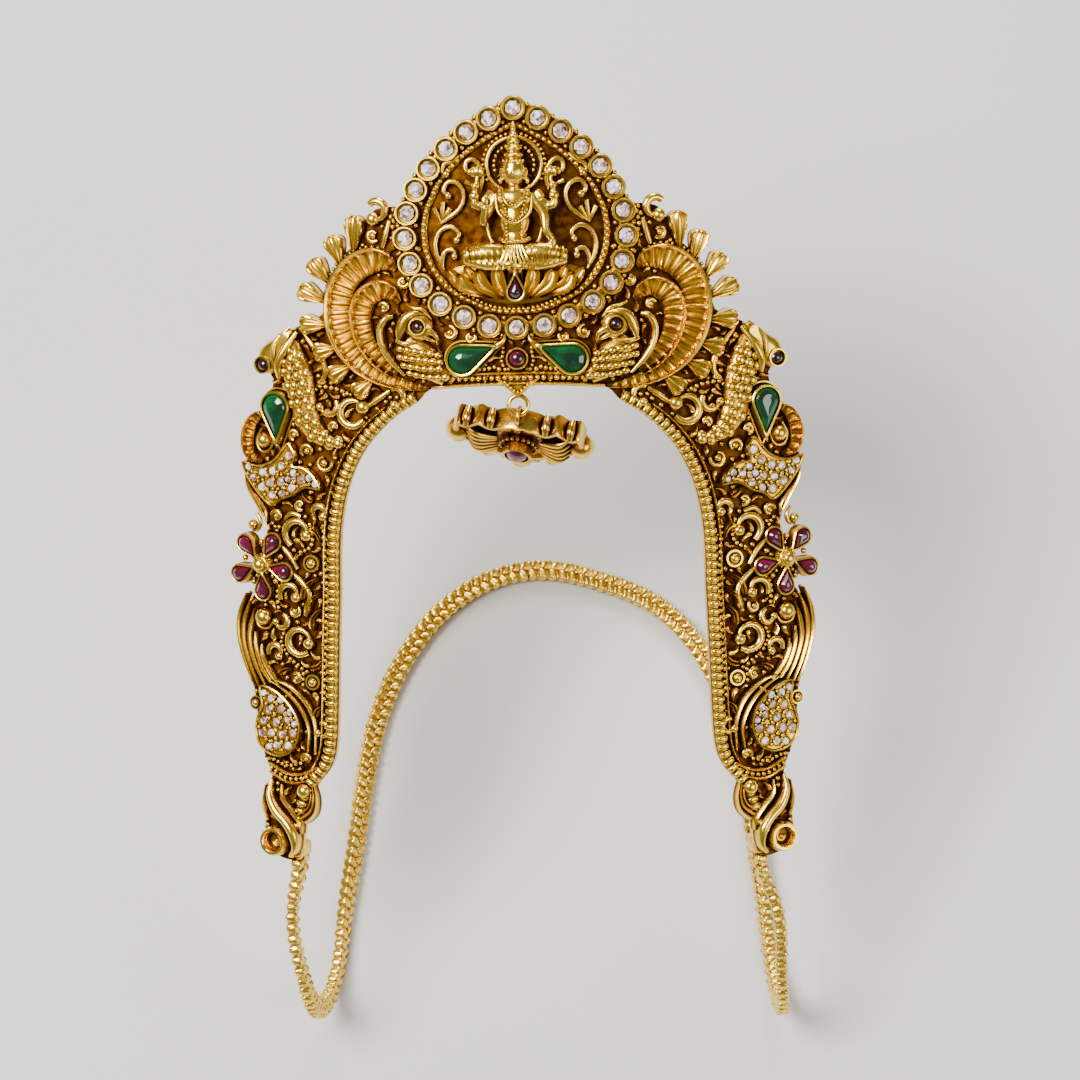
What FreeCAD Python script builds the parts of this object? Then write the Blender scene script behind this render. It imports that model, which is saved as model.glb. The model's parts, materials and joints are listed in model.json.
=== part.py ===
import FreeCAD, Part
import math
import os
from FreeCAD import Placement, Rotation, Vector

# Vanki armlet: a cast gold plate bent round the upper arm, with a woven chain behind it
# and a drop under its bridge.
# Plate coordinates: u runs along the bent front face, v up the plate, w out of it, all mm.

doc = FreeCAD.newDocument("Armlet")
sheet = doc.addObject("Spreadsheet::Sheet", "Sizes")

drivingSizes = [
    ("bendRadius", 79.0),
    ("wallThickness", 1.2),
    ("reliefFoot", 0.6),
    ("plateLean", 30.0),
    ("plateY", 7.292),
    ("plateZ", 61.1),
    ("rimWidth", 1.3),
    ("rimHeight", 0.7),
    ("stoneGap", 0.05),
    ("haloStoneRadius", 1.0),
    ("haloCupRadius", 1.6),
    ("haloCupHeight", 1.5),
    ("haloBandWidth", 2.0),
    ("haloBandHeight", 0.7),
    ("beadBandWidth", 0.9),
    ("emeraldRadius", 1.7),
    ("emeraldTip", 4.2),
    ("emeraldCupHeight", 1.9),
    ("petalRadius", 0.95),
    ("petalTip", 2.1),
    ("petalCupHeight", 1.3),
    ("petalRing", 2.2),
    ("flowerTurn", 50.0),
    ("cupWall", 0.4),
    ("stoneDrop", 0.35),
    ("stoneDome", 0.75),
    ("bridgeRubyRadius", 1.0),
    ("peacockEyeRadius", 0.75),
    ("fishEyeRadius", 0.85),
    ("garnetRadius", 0.85),
    ("garnetTip", 1.9),
    ("paveStoneRadius", 0.6),
    ("paveHeight", 1.4),
    ("figureDepth", 1.5),
    ("ringRadius", 1.25),
    ("ringWire", 0.3),
    ("ringHeight", 9.55),
    ("chainY", 0.292),
    ("chainLift", 0.106),
    ("chainWidth", 3.3),
    ("chainThickness", 1.7),
    ("chainCorner", 0.45),
    ("socketWall", 0.6),
    ("socketDepth", 2.0),
    ("pendantYaw", -10.0),
    ("pendantWidth", 17.4),
    ("pendantThickness", 3.0),
    ("pendantDrop", 10.0),
    ("pendantHang", 1.2),
    ("pendantBall", 1.75),
    ("pendantStoneRadius", 1.5),
    ("pendantStoneHeight", 0.9),
    ("pendantCupHeight", 1.6),
    ("bailRadius", 1.15),
    ("bailWire", 0.28),
    ("bailSag", 0.42),
]
for row, (alias, value) in enumerate(drivingSizes, start=1):
    sheet.set(f"A{row}", alias)
    sheet.set(f"B{row}", str(value))
    sheet.setAlias(f"B{row}", alias)
doc.recompute()


def size(alias):
    return float(sheet.get(alias))


sheetAxis = Vector(0, 0, 1)
across = Vector(1, 0, 0)
upward = Vector(0, 1, 0)
bend = size("bendRadius")
foot = -size("reliefFoot")
gap = size("stoneGap")
cupWall = size("cupWall")
leaned = Placement(
    Vector(0, size("plateY"), size("plateZ")), Rotation(across, size("plateLean"))
)


# Places and basic forms on the bent plate

def onPlate(u, v, w=0.0, turn=0.0):
    angle = u / bend
    place = Vector((bend + w) * math.sin(angle), v, (bend + w) * math.cos(angle) - bend)
    facing = Rotation(upward, math.degrees(angle)) * Rotation(sheetAxis, turn)
    return Placement(place, facing)


def placed(shape, place):
    copy = shape.copy()
    copy.Placement = place * copy.Placement
    return copy


# A maker gives its shape for side 1, the right half, or side -1, the left half.

def bothSides(makers):
    return [make(side) for side in (1, -1) for make in makers]


def midline(makers):
    return [make(1) for make in makers]


def spot(shape, u, v, w=0.0, turn=0.0):
    return lambda side: placed(shape, onPlate(side * u, v, w, side * turn))


def polygon(points, w):
    corners = [Vector(x, y, w) for x, y in points]
    return Part.makePolygon(corners + corners[:1])


def prism(points, low, high):
    return Part.Face(polygon(points, low)).extrude(Vector(0, 0, high - low))


def raised(points, height, low=None):
    base = foot if low is None else low

    def make(side):
        middleU = side * sum(u for u, v in points) / len(points)
        middleV = sum(v for u, v in points) / len(points)
        local = [(side * u - middleU, v - middleV) for u, v in points][::side]
        return placed(prism(local, base, height), onPlate(middleU, middleV))

    return make


def disc(u, v, radius, height, low=None):
    base = foot if low is None else low
    return spot(Part.makeCylinder(radius, height - base, Vector(0, 0, base)), u, v)


def ball(u, v, radius, w=0.5):
    return spot(Part.makeSphere(radius), u, v, w)


def band(points, widths):
    left, right = [], []
    last = len(points) - 1
    for index, (x, y) in enumerate(points):
        ax, ay = points[max(index - 1, 0)]
        bx, by = points[min(index + 1, last)]
        run = math.hypot(bx - ax, by - ay)
        half = widths[index] / 2 if isinstance(widths, list) else widths / 2
        left.append((x - (by - ay) / run * half, y + (bx - ax) / run * half))
        right.append((x + (by - ay) / run * half, y - (bx - ax) / run * half))
    return left + right[::-1]


def wireRing(radius, wire, sweep=360, sides=8):
    corners = []
    for index in range(sides):
        angle = 2 * math.pi * (index + 0.5) / sides
        corners.append(Vector(radius + wire * math.cos(angle), 0, wire * math.sin(angle)))
    face = Part.Face(Part.makePolygon(corners + corners[:1]))
    return face.revolve(Vector(0, 0, 0), sheetAxis, sweep)


def scroll(u, v, radius, wire, start, sweep, endBall):
    ring = wireRing(radius, wire, sweep)
    lift = wire * 0.6

    def curl(side):
        turn = start if side > 0 else 180 - start - sweep
        return placed(ring, onPlate(side * u, v, lift, turn))

    tip = math.radians(start + sweep)
    knob = ball(u + radius * math.cos(tip), v + radius * math.sin(tip), endBall, lift)
    root = math.radians(start)
    heel = ball(u + radius * math.cos(root), v + radius * math.sin(root), wire * 1.02, lift)
    return [curl, knob, heel]


def rod(start, end, radius):
    def make(side):
        first, last = (Vector(side * x, y, z) for x, y, z in (start, end))
        return Part.makeCylinder(radius, (last - first).Length, first, last - first)

    return make


def knuckle(point, radius):
    x, y, z = point
    return lambda side: Part.makeSphere(radius, Vector(side * x, y, z))


def limb(points, radius):
    rods = [rod(start, end, radius) for start, end in zip(points, points[1:])]
    return rods + [knuckle(point, radius * 1.02) for point in points]


def ellipseLoft(rows, corners=10):
    rings = []
    for x, y, z, halfWidth, halfDepth in rows:
        ring = []
        for index in range(corners):
            angle = 2 * math.pi * (index + 0.5) / corners
            ring.append(
                Vector(x + halfWidth * math.cos(angle), y, z + halfDepth * math.sin(angle))
            )
        rings.append(Part.makePolygon(ring + ring[:1]))
    return Part.makeLoft(rings, True, True)


# Stone outlines, cups and stones. A pear points along +v before it is turned.

def pearWire(radius, tip, w):
    slant = math.acos(radius / tip)
    sideX, sideY = radius * math.sin(slant), radius * math.cos(slant)
    right, left = Vector(sideX, sideY, w), Vector(-sideX, sideY, w)
    point = Vector(0, tip, w)
    back = Part.Arc(left, Vector(0, -radius, w), right).toShape()
    sides = [Part.LineSegment(right, point).toShape(), Part.LineSegment(point, left).toShape()]
    return Part.Wire([back] + sides)


def wider(radius, tip, extra):
    return radius + extra, tip * (radius + extra) / radius


def pearBlock(radius, tip, low, high):
    return Part.Face(pearWire(radius, tip, low)).extrude(Vector(0, 0, high - low))


def pearCup(radius, tip, height):
    outerRadius, outerTip = wider(radius, tip, cupWall)
    return pearBlock(outerRadius, outerTip, foot, height)


def pearSeat(radius, tip, height):
    holeRadius, holeTip = wider(radius, tip, gap)
    return pearBlock(holeRadius, holeTip, height - size("stoneDrop") - gap - 0.35, height + 1)


def pearStone(radius, tip, height):
    base = height - size("stoneDrop") - 0.35
    dome = size("stoneDome")
    rows = [(1.0, base), (1.0, height - 0.2), (0.84, height - 0.2 + dome * 0.55),
            (0.5, height - 0.2 + dome * 0.9), (0.2, height - 0.2 + dome)]
    return Part.makeLoft([pearWire(radius * k, tip * k, w) for k, w in rows], True, True)


def roundSeat(radius, height, depth=0.75):
    return Part.makeCylinder(radius + gap, depth + gap + 1, Vector(0, 0, height - depth - gap))


def roundCabochon(radius, height, depth=0.75):
    dome = radius * 0.55
    curve = (radius ** 2 + dome ** 2) / (2 * dome)
    low = height - depth
    rim = height - 0.25
    cap = Part.makeSphere(curve, Vector(0, 0, rim + dome - curve))
    block = Part.makeCylinder(radius, depth + dome, Vector(0, 0, low))
    return block.common(cap)


def cutStone(radius, height, depth=0.75, facets=8):
    rows = [(1.0, height - depth), (1.0, height - 0.35), (0.58, height - 0.05)]
    rings = []
    for scale, w in rows:
        corners = []
        for index in range(facets):
            angle = 2 * math.pi * (index + 0.5) / facets
            reach = radius * scale
            corners.append((reach * math.cos(angle), reach * math.sin(angle)))
        rings.append(polygon(corners, w))
    return Part.makeLoft(rings, True, True)


# Places of the stones, right half, as plate coordinates

haloHalf = [
    (0.0, 47.9), (3.1, 46.6), (6.0, 44.9), (8.6, 42.8), (10.95, 40.3), (12.65, 37.6),
    (13.85, 34.6), (14.2, 31.35), (13.6, 28.1), (12.15, 25.3), (9.75, 22.85), (6.7, 21.15),
    (3.5, 19.97), (0.0, 19.7),
]
haloPath = haloHalf + [(-u, v) for u, v in haloHalf[-2:0:-1]]
bridgeEmerald = {"u": 7.0, "v": 15.6, "turn": 68.0}
shoulderEmerald = {"u": 32.5, "v": 9.3, "turn": 178.0}
lotusGarnet = {"u": 0.0, "v": 24.4, "turn": 0.0}
bridgeRuby = (0.0, 15.75)
peacockEye = (12.55, 20.0)
fishEye = (33.9, 14.9)
flowerCentre = (35.5, -11.7)
leafStones = [
    (37.0, 1.2), (36.3, -0.1), (34.9, 0.6), (33.4, 0.8), (32.0, 1.5), (30.9, 2.9),
    (32.2, -0.6), (29.3, -0.2), (30.6, -1.3), (33.8, -0.8), (35.1, -1.4), (33.5, -2.4),
]
paisleyStones = [
    (34.5, -29.6), (33.1, -31.0), (34.8, -31.2), (32.0, -32.4), (35.7, -32.7), (33.8, -32.8),
    (31.3, -34.1), (32.9, -34.4), (34.6, -34.3), (36.0, -34.4), (33.8, -36.0), (32.1, -35.9),
]


def flowerPetals():
    for index in range(5):
        angle = size("flowerTurn") + 72 * index
        reach = size("petalRing") + 1.4
        u = flowerCentre[0] + reach * math.cos(math.radians(angle))
        v = flowerCentre[1] + reach * math.sin(math.radians(angle))
        yield u, v, angle + 90


pearPlaces = [
    ("bridge_emerald", bridgeEmerald, "emeraldRadius", "emeraldTip", "emeraldCupHeight"),
    ("shoulder_emerald", shoulderEmerald, "emeraldRadius", "emeraldTip", "emeraldCupHeight"),
]
roundPlaces = [
    ("peacock_eye", peacockEye, "peacockEyeRadius", 2.4),
    ("fish_eye", fishEye, "fishEyeRadius", 2.2),
]


# Plate wall: the outline drawn flat, cut out of a bent sheet

outerEdge = [
    (0.0, 48.3), (3.1, 46.9), (6.0, 45.2), (8.6, 43.1), (11.1, 40.6), (12.9, 37.9),
    (14.6, 35.6), (17.0, 35.4), (19.0, 34.6), (20.6, 31.4), (23.2, 28.8), (25.2, 25.4),
    (26.1, 21.5), (28.8, 20.2), (32.4, 18.6), (34.6, 17.2), (35.4, 14.9), (33.5, 12.8),
    (34.9, 9.6), (37.0, 7.4), (37.9, 3.6), (37.5, -1.6), (35.5, -5.2), (35.2, -8.0),
    (37.6, -12.0), (37.0, -15.4), (39.6, -18.3), (40.2, -21.0), (39.3, -25.0), (37.8, -28.4),
    (37.4, -31.0), (37.2, -34.6), (36.2, -37.8), (35.3, -40.4), (36.1, -44.0), (36.6, -47.6),
    (36.1, -50.0), (34.4, -51.2), (31.6, -51.2),
]
innerEdge = [
    (30.6, -46.8), (29.6, -43.2), (28.4, -40.8), (26.6, -38.7), (25.6, -35.9), (25.2, -30.0),
    (24.9, -22.0), (24.6, -15.0), (24.5, -10.0), (24.1, -5.6), (23.0, -0.9), (21.1, 3.1),
    (18.5, 6.2), (15.8, 8.5), (13.4, 9.9), (11.5, 11.7), (7.5, 12.05), (1.5, 12.05),
    (0.0, 10.9),
]


def plateWall():
    half = outerEdge + innerEdge
    outline = half + [(-u, v) for u, v in half[-2:0:-1]]
    flat = [(bend * math.sin(u / bend), v) for u, v in outline]
    sketch = doc.addObject("Sketcher::SketchObject", "PlateOutline")
    corners = [Vector(x, v, 0) for x, v in flat]
    sides = [Part.LineSegment(a, b) for a, b in zip(corners, corners[1:] + corners[:1])]
    sketch.addGeometry(sides, False)
    pad = doc.addObject("Part::Extrusion", "PlateBlank")
    pad.Base = sketch
    pad.DirMode = "Normal"
    pad.Solid = True
    pad.Symmetric = True
    pad.setExpression("LengthFwd", "Sizes.bendRadius / 2")
    tall = 2 * max(abs(v) for u, v in outline) + 10
    sheets = []
    for name, inset in (("BendOuter", "0"), ("BendInner", "Sizes.wallThickness")):
        roll = doc.addObject("Part::Cylinder", name)
        roll.setExpression("Radius", "Sizes.bendRadius - " + inset)
        roll.Height = tall
        roll.Placement = Placement(Vector(0, tall / 2, -bend), Rotation(across, 90))
        sheets.append(roll)
    shell = doc.addObject("Part::Cut", "BentSheet")
    shell.Base, shell.Tool = sheets
    wall = doc.addObject("Part::Common", "PlateWall")
    wall.Base, wall.Tool = shell, pad
    return wall


# Relief, each group as solids that stand on the wall

def rimRelief():
    innerRun = [(u + 0.62, v + 0.1) for u, v in innerEdge[:11]]
    innerRun += [(u + 0.35, v + 0.5) for u, v in innerEdge[11:15]]
    shapes = []
    for start, end in zip(innerRun, innerRun[1:]):
        shapes.append(raised(band([start, end], size("rimWidth")), size("rimHeight")))
        shapes.append(disc(end[0], end[1], size("rimWidth") / 2 + 0.05, size("rimHeight") - 0.02))
    bridge = [(-11.0, 12.75), (-5.5, 12.75), (0.0, 12.6), (5.5, 12.75), (11.0, 12.75)]
    shapes = bothSides(shapes)
    return shapes + midline([raised(band(bridge, 1.3), size("rimHeight"))])


def haloRelief():
    shapes = []
    loop = haloPath + haloPath[:1]
    for start, end in zip(loop, loop[1:]):
        shapes.append(raised(band([start, end], size("haloBandWidth")), size("haloBandHeight")))
    for u, v in haloPath:
        shapes.append(disc(u, v, size("haloCupRadius"), size("haloCupHeight"), -1.0))
    inner = [(u * 0.83, 33.3 + (v - 33.3) * 0.845) for u, v in loop]
    for start, end in zip(inner, inner[1:]):
        shapes.append(raised(band([start, end], size("beadBandWidth")), 0.5))
    return midline(shapes)


def bridgeRelief():
    shapes = []
    for name, place, radius, tip, height in pearPlaces:
        cup = pearCup(size(radius), size(tip), size(height))
        shapes.append(spot(cup, place["u"], place["v"], 0, place["turn"]))
    shapes += scroll(18.1, 35.0, 1.2, 0.45, 40, 250, 0.9)
    shapes = bothSides(shapes)
    rubyCup = disc(*bridgeRuby, size("bridgeRubyRadius") + cupWall, 1.9)
    point = raised([(-2.6, 12.9), (0.0, 10.7), (2.6, 12.9), (0, 14.2)], 0.9)
    return shapes + midline([rubyCup, point])


def figureRelief():
    depth = size("figureDepth")
    shapes = midline([disc(0, 40.6, 3.7, 0.8)])
    halo = wireRing(3.45, 0.3)
    shapes.append(placed(halo, onPlate(0, 40.6, 0.85)))
    shapes.append(Part.makeSphere(1.5, Vector(0, 39.9, 1.9)))
    crown = Vector(0, 40.6, 1.9)
    shapes.append(Part.makeCone(1.45, 0.95, 2.4, crown, upward))
    shapes.append(Part.makeCone(0.9, 0.25, 2.4, crown + upward * 2.3, upward))
    torso = [
        (0, 29.4, 1.2, 2.6, 1.3), (0, 31.6, 1.3, 1.6, 1.0), (0, 33.6, 1.4, 1.9, 1.15),
        (0, 35.8, 1.5, 2.5, 1.1), (0, 37.3, 1.5, 2.6, 0.85), (0, 38.0, 1.5, 0.8, 0.7),
        (0, 39.0, 1.6, 0.65, 0.65),
    ]
    shapes.append(ellipseLoft(torso))
    upperArm = [(2.5, 36.6, depth), (4.5, 34.9, depth), (4.9, 37.4, depth)]
    thigh = [(1.2, 29.3, depth), (6.3, 29.2, depth)]
    shin = [(6.3, 29.0, depth), (0.4, 28.1, depth + 0.6)]
    shapes += bothSides(
        limb(upperArm, 0.62) + limb(thigh, 1.15) + limb(shin, 0.85)
        + [knuckle((4.9, 38.3, depth), 0.95)]
    )
    lowered = limb([(2.4, 36.2, depth), (3.9, 33.4, depth + 0.4), (4.6, 31.6, depth + 0.8)], 0.68)
    lifted = limb([(-2.4, 36.2, depth), (-3.6, 33.2, depth + 0.3), (-3.7, 35.2, 2.6)], 0.68)
    return shapes + midline(lowered + lifted)


def lotusRelief():
    bowl = [(-8.6, 27.9), (-7.4, 25.2), (-4.2, 23.3), (0, 22.7), (4.2, 23.3), (7.4, 25.2),
            (8.6, 27.9), (0, 28.8)]
    shapes = midline([raised(bowl, 1.1)])
    for index in range(-3, 4):
        root = (index * 0.9, 23.3 + abs(index) * 0.25)
        tip = (index * 2.9, 28.4 - abs(index) * 0.35)
        middle = [root, ((root[0] + tip[0]) / 2 + index * 0.12, (root[1] + tip[1]) / 2 - 0.2), tip]
        petal = raised(band(middle, [1.2, 2.3, 0.5]), 2.3 - abs(index) * 0.3)
        shapes += midline([petal])
    cup = pearCup(size("garnetRadius"), size("garnetTip"), 2.9)
    shapes.append(placed(cup, onPlate(lotusGarnet["u"], lotusGarnet["v"], 0, 0)))
    for u, v, radius, start, sweep in (
        (5.9, 41.2, 1.0, -60, 250), (8.3, 38.0, 1.2, -70, 250), (9.3, 32.4, 1.5, -80, 260),
        (7.9, 29.9, 0.7, -60, 240),
    ):
        shapes += bothSides(scroll(u, v, radius, 0.33, start, sweep, 0.5))
    return shapes


def peacockRelief():
    body = [(11.0, 13.0), (8.6, 13.9), (9.3, 16.2), (10.8, 17.9), (12.6, 18.6), (14.6, 18.0),
            (15.2, 16.0), (14.3, 13.6)]
    shapes = [raised(body, 1.3), disc(12.9, 19.6, 1.9, 1.7)]
    shapes.append(disc(*peacockEye, size("peacockEyeRadius") + cupWall, 2.4))
    shapes.append(raised([(10.9, 19.4), (9.3, 17.7), (10.2, 18.2), (11.6, 18.5)], 1.2))
    outer = [(16.4, 27.6), (18.4, 28.7), (21.0, 27.7), (23.1, 25.2), (23.7, 21.8), (22.9, 17.9),
             (20.9, 15.1), (17.6, 13.1), (12.8, 11.9)]
    inner = [(15.7, 23.7), (17.3, 24.8), (19.0, 24.0), (20.2, 22.0), (20.3, 19.8), (19.3, 17.3),
             (17.2, 14.7), (15.2, 13.2)]
    crest = [(16.2, 20.9), (17.5, 20.5), (17.6, 18.4), (16.6, 15.6), (14.6, 13.5)]
    shapes.append(raised(band(outer, [2.6, 3.0, 3.4, 3.5, 3.6, 3.2, 2.6, 1.7, 0.5]), 1.2))
    shapes.append(raised(band(inner, [1.6, 2.1, 2.4, 2.5, 2.6, 2.4, 2.0, 1.2]), 1.4))
    shapes.append(raised(band(crest, [0.8, 0.9, 1.0, 1.0, 0.6]), 1.2))
    return bothSides(shapes)


feathers = [
    ((20.9, 34.4), (21.0, 29.7)), ((24.2, 31.8), (22.8, 28.0)), ((27.1, 28.6), (24.3, 25.8)),
    ((28.9, 24.9), (25.0, 23.3)), ((28.9, 20.2), (24.7, 20.3)), ((27.0, 16.4), (23.6, 17.3)),
    ((24.9, 13.3), (21.7, 15.0)), ((21.4, 11.0), (18.9, 13.2)),
]


def featherRelief():
    shapes = []
    for tip, root in feathers:
        middle = ((tip[0] + root[0]) / 2, (tip[1] + root[1]) / 2)
        near = (tip[0] * 0.85 + root[0] * 0.15, tip[1] * 0.85 + root[1] * 0.15)
        outline = band([root, middle, near, tip], [0.9, 2.1, 2.5, 1.2])
        shapes.append(raised(outline, 1.1, -size("wallThickness")))
    return bothSides(shapes)


def fishRelief():
    spine = [(30.6, 18.0), (29.6, 15.0), (29.0, 11.5), (28.4, 8.2), (26.9, 5.6), (24.6, 4.6)]
    shapes = [raised(band(spine, [3.2, 4.0, 3.9, 3.7, 3.0, 1.6]), 1.5)]
    head = [(29.6, 19.6), (32.4, 18.2), (34.4, 16.9), (34.9, 15.0), (33.4, 13.6), (31.4, 15.2)]
    shapes.append(raised(head, 1.5))
    shapes.append(disc(*fishEye, size("fishEyeRadius") + cupWall, 2.2))
    shapes += scroll(21.7, 8.6, 1.7, 0.5, -150, 300, 0.95)
    shapes += scroll(25.2, 9.6, 1.2, 0.45, 150, 200, 0.6)
    shapes += scroll(16.0, 10.8, 1.1, 0.4, 60, 220, 0.6)
    crescent = [(34.6, 8.6), (36.4, 7.2), (37.2, 4.8), (36.6, 2.6), (35.0, 1.9)]
    shapes.append(raised(band(crescent, [0.8, 1.4, 1.6, 1.3, 0.6]), 1.0))
    shapes.append(ball(34.6, 4.9, 1.05, 0.9))
    return bothSides(shapes)


def leafRelief():
    outline = [
        (37.8, 2.0), (35.4, 1.5), (33.0, 2.4), (31.0, 4.6), (29.9, 3.0), (30.3, 1.6),
        (28.8, 1.4), (27.4, 0.4), (26.4, -1.5), (28.6, -1.3), (30.5, -2.4), (32.1, -2.9),
        (33.4, -3.8), (34.7, -3.0), (36.3, -1.2), (37.5, 0.6),
    ]
    edge = [(37.7, 1.6), (37.3, -1.4), (35.9, -3.6), (35.0, -5.4)]
    shapes = [raised(outline, size("paveHeight")), raised(band(edge, [0.7, 0.9, 0.9, 0.6]), 1.0)]
    shapes += [ball(37.0, -6.5, 0.65, 0.4)]
    shapes.append(raised([(35.4, -5.4), (36.8, -6.2), (36.8, -6.9), (35.0, -6.9)], 0.4))
    return bothSides(shapes)


def flowerRelief():
    shapes = []
    for u, v, turn in flowerPetals():
        cup = pearCup(size("petalRadius"), size("petalTip"), size("petalCupHeight"))
        shapes.append(spot(cup, u, v, 0, turn))
    shapes.append(disc(*flowerCentre, 1.15, 1.9))
    shapes.append(disc(*flowerCentre, 0.75, 2.3))
    return bothSides(shapes)


def legRelief():
    shapes = []
    for u, v, radius, wire, start, sweep, knob in (
        (30.2, -7.4, 1.9, 0.45, -60, 230, 0.75), (26.7, -4.6, 1.0, 0.45, 0, 200, 0.6),
        (31.6, -15.6, 1.5, 0.35, -30, 210, 0.7), (30.2, -21.8, 1.9, 0.4, -130, 300, 0.75),
        (33.9, -23.4, 1.1, 0.4, -20, 220, 0.5), (30.4, -30.6, 3.1, 0.4, -60, 120, 0.4),
    ):
        shapes += scroll(u, v, radius, wire, start, sweep, knob)
    for u, v, radius in ((28.2, -11.35, 1.1), (28.4, -27.2, 1.0), (37.0, -30.4, 0.95)):
        shapes.append(disc(u, v, radius, 0.8, -1.0))
        shapes.append(disc(u, v, radius * 0.55, 1.2))
    shapes.append(ball(35.4, -18.7, 1.15, 0.9))
    sweepLines = [
        [(38.2, -16.2), (39.4, -19.0), (39.2, -22.6), (37.6, -26.2), (36.2, -28.6)],
        [(37.2, -17.0), (38.3, -19.6), (38.1, -22.8), (36.6, -26.0), (35.4, -28.2)],
        [(35.6, -26.6), (32.8, -28.4), (30.6, -30.6), (29.4, -33.6), (29.6, -36.4)],
    ]
    for line in sweepLines:
        shapes.append(raised(band(line, [0.5, 1.1, 1.2, 0.9, 0.5]), 1.1))
    diagonal = [(30.4, -14.2), (28.8, -16.4), (27.6, -18.9)]
    shapes.append(raised(band(diagonal, 0.8), 0.8))
    hem = [(28.2, -38.6), (30.2, -39.6), (32.6, -39.6), (34.8, -38.4)]
    shapes.append(raised(band(hem, 1.2), 0.8))
    return bothSides(shapes)


def paisleyRelief():
    outline = [
        (36.1, -28.0), (34.0, -28.3), (32.0, -29.8), (30.7, -31.6), (30.2, -33.6),
        (30.9, -35.9), (32.6, -37.2), (34.5, -37.2), (36.2, -36.1), (36.9, -34.2),
        (36.6, -32.2), (35.8, -30.4),
    ]
    return bothSides([raised(outline, size("paveHeight"))])


socketU, socketV = 32.2, -49.6


def terminalRelief():
    leaf = [(28.6, -41.2), (31.0, -41.0), (32.6, -43.6), (31.4, -46.0), (29.8, -44.6)]
    shapes = [raised(leaf, 1.0)]
    stem = [(33.8, -41.2), (33.9, -43.6), (32.6, -45.8), (31.6, -47.6), (31.4, -49.6)]
    shapes.append(raised(band(stem, [0.6, 1.2, 1.4, 1.4, 1.0]), 1.8))
    shapes += [ball(30.0, -41.9, 1.0, 0.8)]
    curl = Part.makeCylinder(2.0, 3.2, Vector(0, 0, -1.2))
    bore = Part.makeCylinder(1.15, 3.0, Vector(0, 0, 0.4))
    shapes.append(spot(curl.cut(bore), 34.6, -48.9))
    wall = size("socketWall")
    broad = size("chainThickness") + 2 * wall
    tall = size("chainWidth") + 2 * wall
    block = Part.makeBox(broad, size("socketDepth") + wall, tall,
                         Vector(-broad / 2, -size("socketDepth") / 2, -tall))
    shapes.append(spot(block, socketU, socketV, wall))
    return bothSides(shapes)


def ringRelief():
    ring = wireRing(size("ringRadius"), size("ringWire"))
    return [placed(ring, onPlate(0, size("ringHeight"), -0.1))]


# Seats cut for the stones and for the chain's ends

def haloSeats():
    seat = roundSeat(size("haloStoneRadius"), size("haloCupHeight"))
    return [placed(seat, onPlate(u, v)) for u, v in haloPath]


def paveSeats(places):
    seat = roundSeat(size("paveStoneRadius"), size("paveHeight"), 0.5)
    return [spot(seat, u, v) for u, v in places]


def gemSeats():
    seats = paveSeats(leafStones) + paveSeats(paisleyStones)
    for name, place, radius, tip, height in pearPlaces:
        seat = pearSeat(size(radius), size(tip), size(height))
        seats.append(spot(seat, place["u"], place["v"], 0, place["turn"]))
    for name, place, radius, height in roundPlaces:
        seats.append(spot(roundSeat(size(radius), height), *place))
    for u, v, turn in flowerPetals():
        seat = pearSeat(size("petalRadius"), size("petalTip"), size("petalCupHeight"))
        seats.append(spot(seat, u, v, 0, turn))
    seats = bothSides(seats)
    seats.append(placed(roundSeat(size("bridgeRubyRadius"), 1.9), onPlate(*bridgeRuby)))
    garnet = pearSeat(size("garnetRadius"), size("garnetTip"), 2.9)
    seats.append(placed(garnet, onPlate(lotusGarnet["u"], lotusGarnet["v"])))
    return seats


def chainSeats():
    broad = size("chainThickness") + 2 * gap
    tall = size("chainWidth") + 2 * gap
    depth = size("socketDepth")
    pocket = Part.makeBox(broad, depth + 1, tall,
                          Vector(-broad / 2, -depth / 2 - 1, -tall - size("socketWall") + gap))
    return bothSides([spot(pocket, socketU, socketV, size("socketWall"))])


def frontPlate():
    wall = plateWall()
    groups = [
        ("Rim", rimRelief()), ("Halo", haloRelief()), ("Bridge", bridgeRelief()),
        ("Figure", figureRelief()), ("Lotus", lotusRelief()), ("Peacocks", peacockRelief()),
        ("Feathers", featherRelief()), ("Fish", fishRelief()), ("Leaves", leafRelief()),
        ("Flowers", flowerRelief()), ("Legs", legRelief()), ("Paisleys", paisleyRelief()),
        ("Terminals", terminalRelief()), ("Ring", ringRelief()),
    ]
    parts = [wall]
    for name, shapes in groups:
        relief = doc.addObject("Part::Feature", name + "Relief")
        relief.Shape = shapes[0].multiFuse(shapes[1:])
        parts.append(relief)
    casting = doc.addObject("Part::MultiFuse", "Casting")
    casting.Shapes = parts
    seats = doc.addObject("Part::Feature", "Seats")
    seats.Shape = Part.makeCompound(haloSeats() + gemSeats() + chainSeats())
    plate = doc.addObject("Part::Cut", "FrontPlate")
    plate.Base, plate.Tool = casting, seats
    plate.Label = "front_plate"
    plate.Placement = leaned
    return plate


# Stones, each a node of its own or one field

def stoneNode(label, shape, place):
    stone = doc.addObject("Part::Feature", "Stone_" + label)
    stone.Shape = shape
    stone.Placement = place
    stone.Label = label
    return stone


def fieldNode(label, shapes):
    field = doc.addObject("Part::Feature", "Field_" + label)
    field.Shape = Part.makeCompound(shapes)
    field.Placement = leaned
    field.Label = label
    return field


def sidePlace(side, u, v, turn=0.0):
    sign = 1 if side == "right" else -1
    return leaned * onPlate(sign * u, v, 0, sign * turn)


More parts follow.
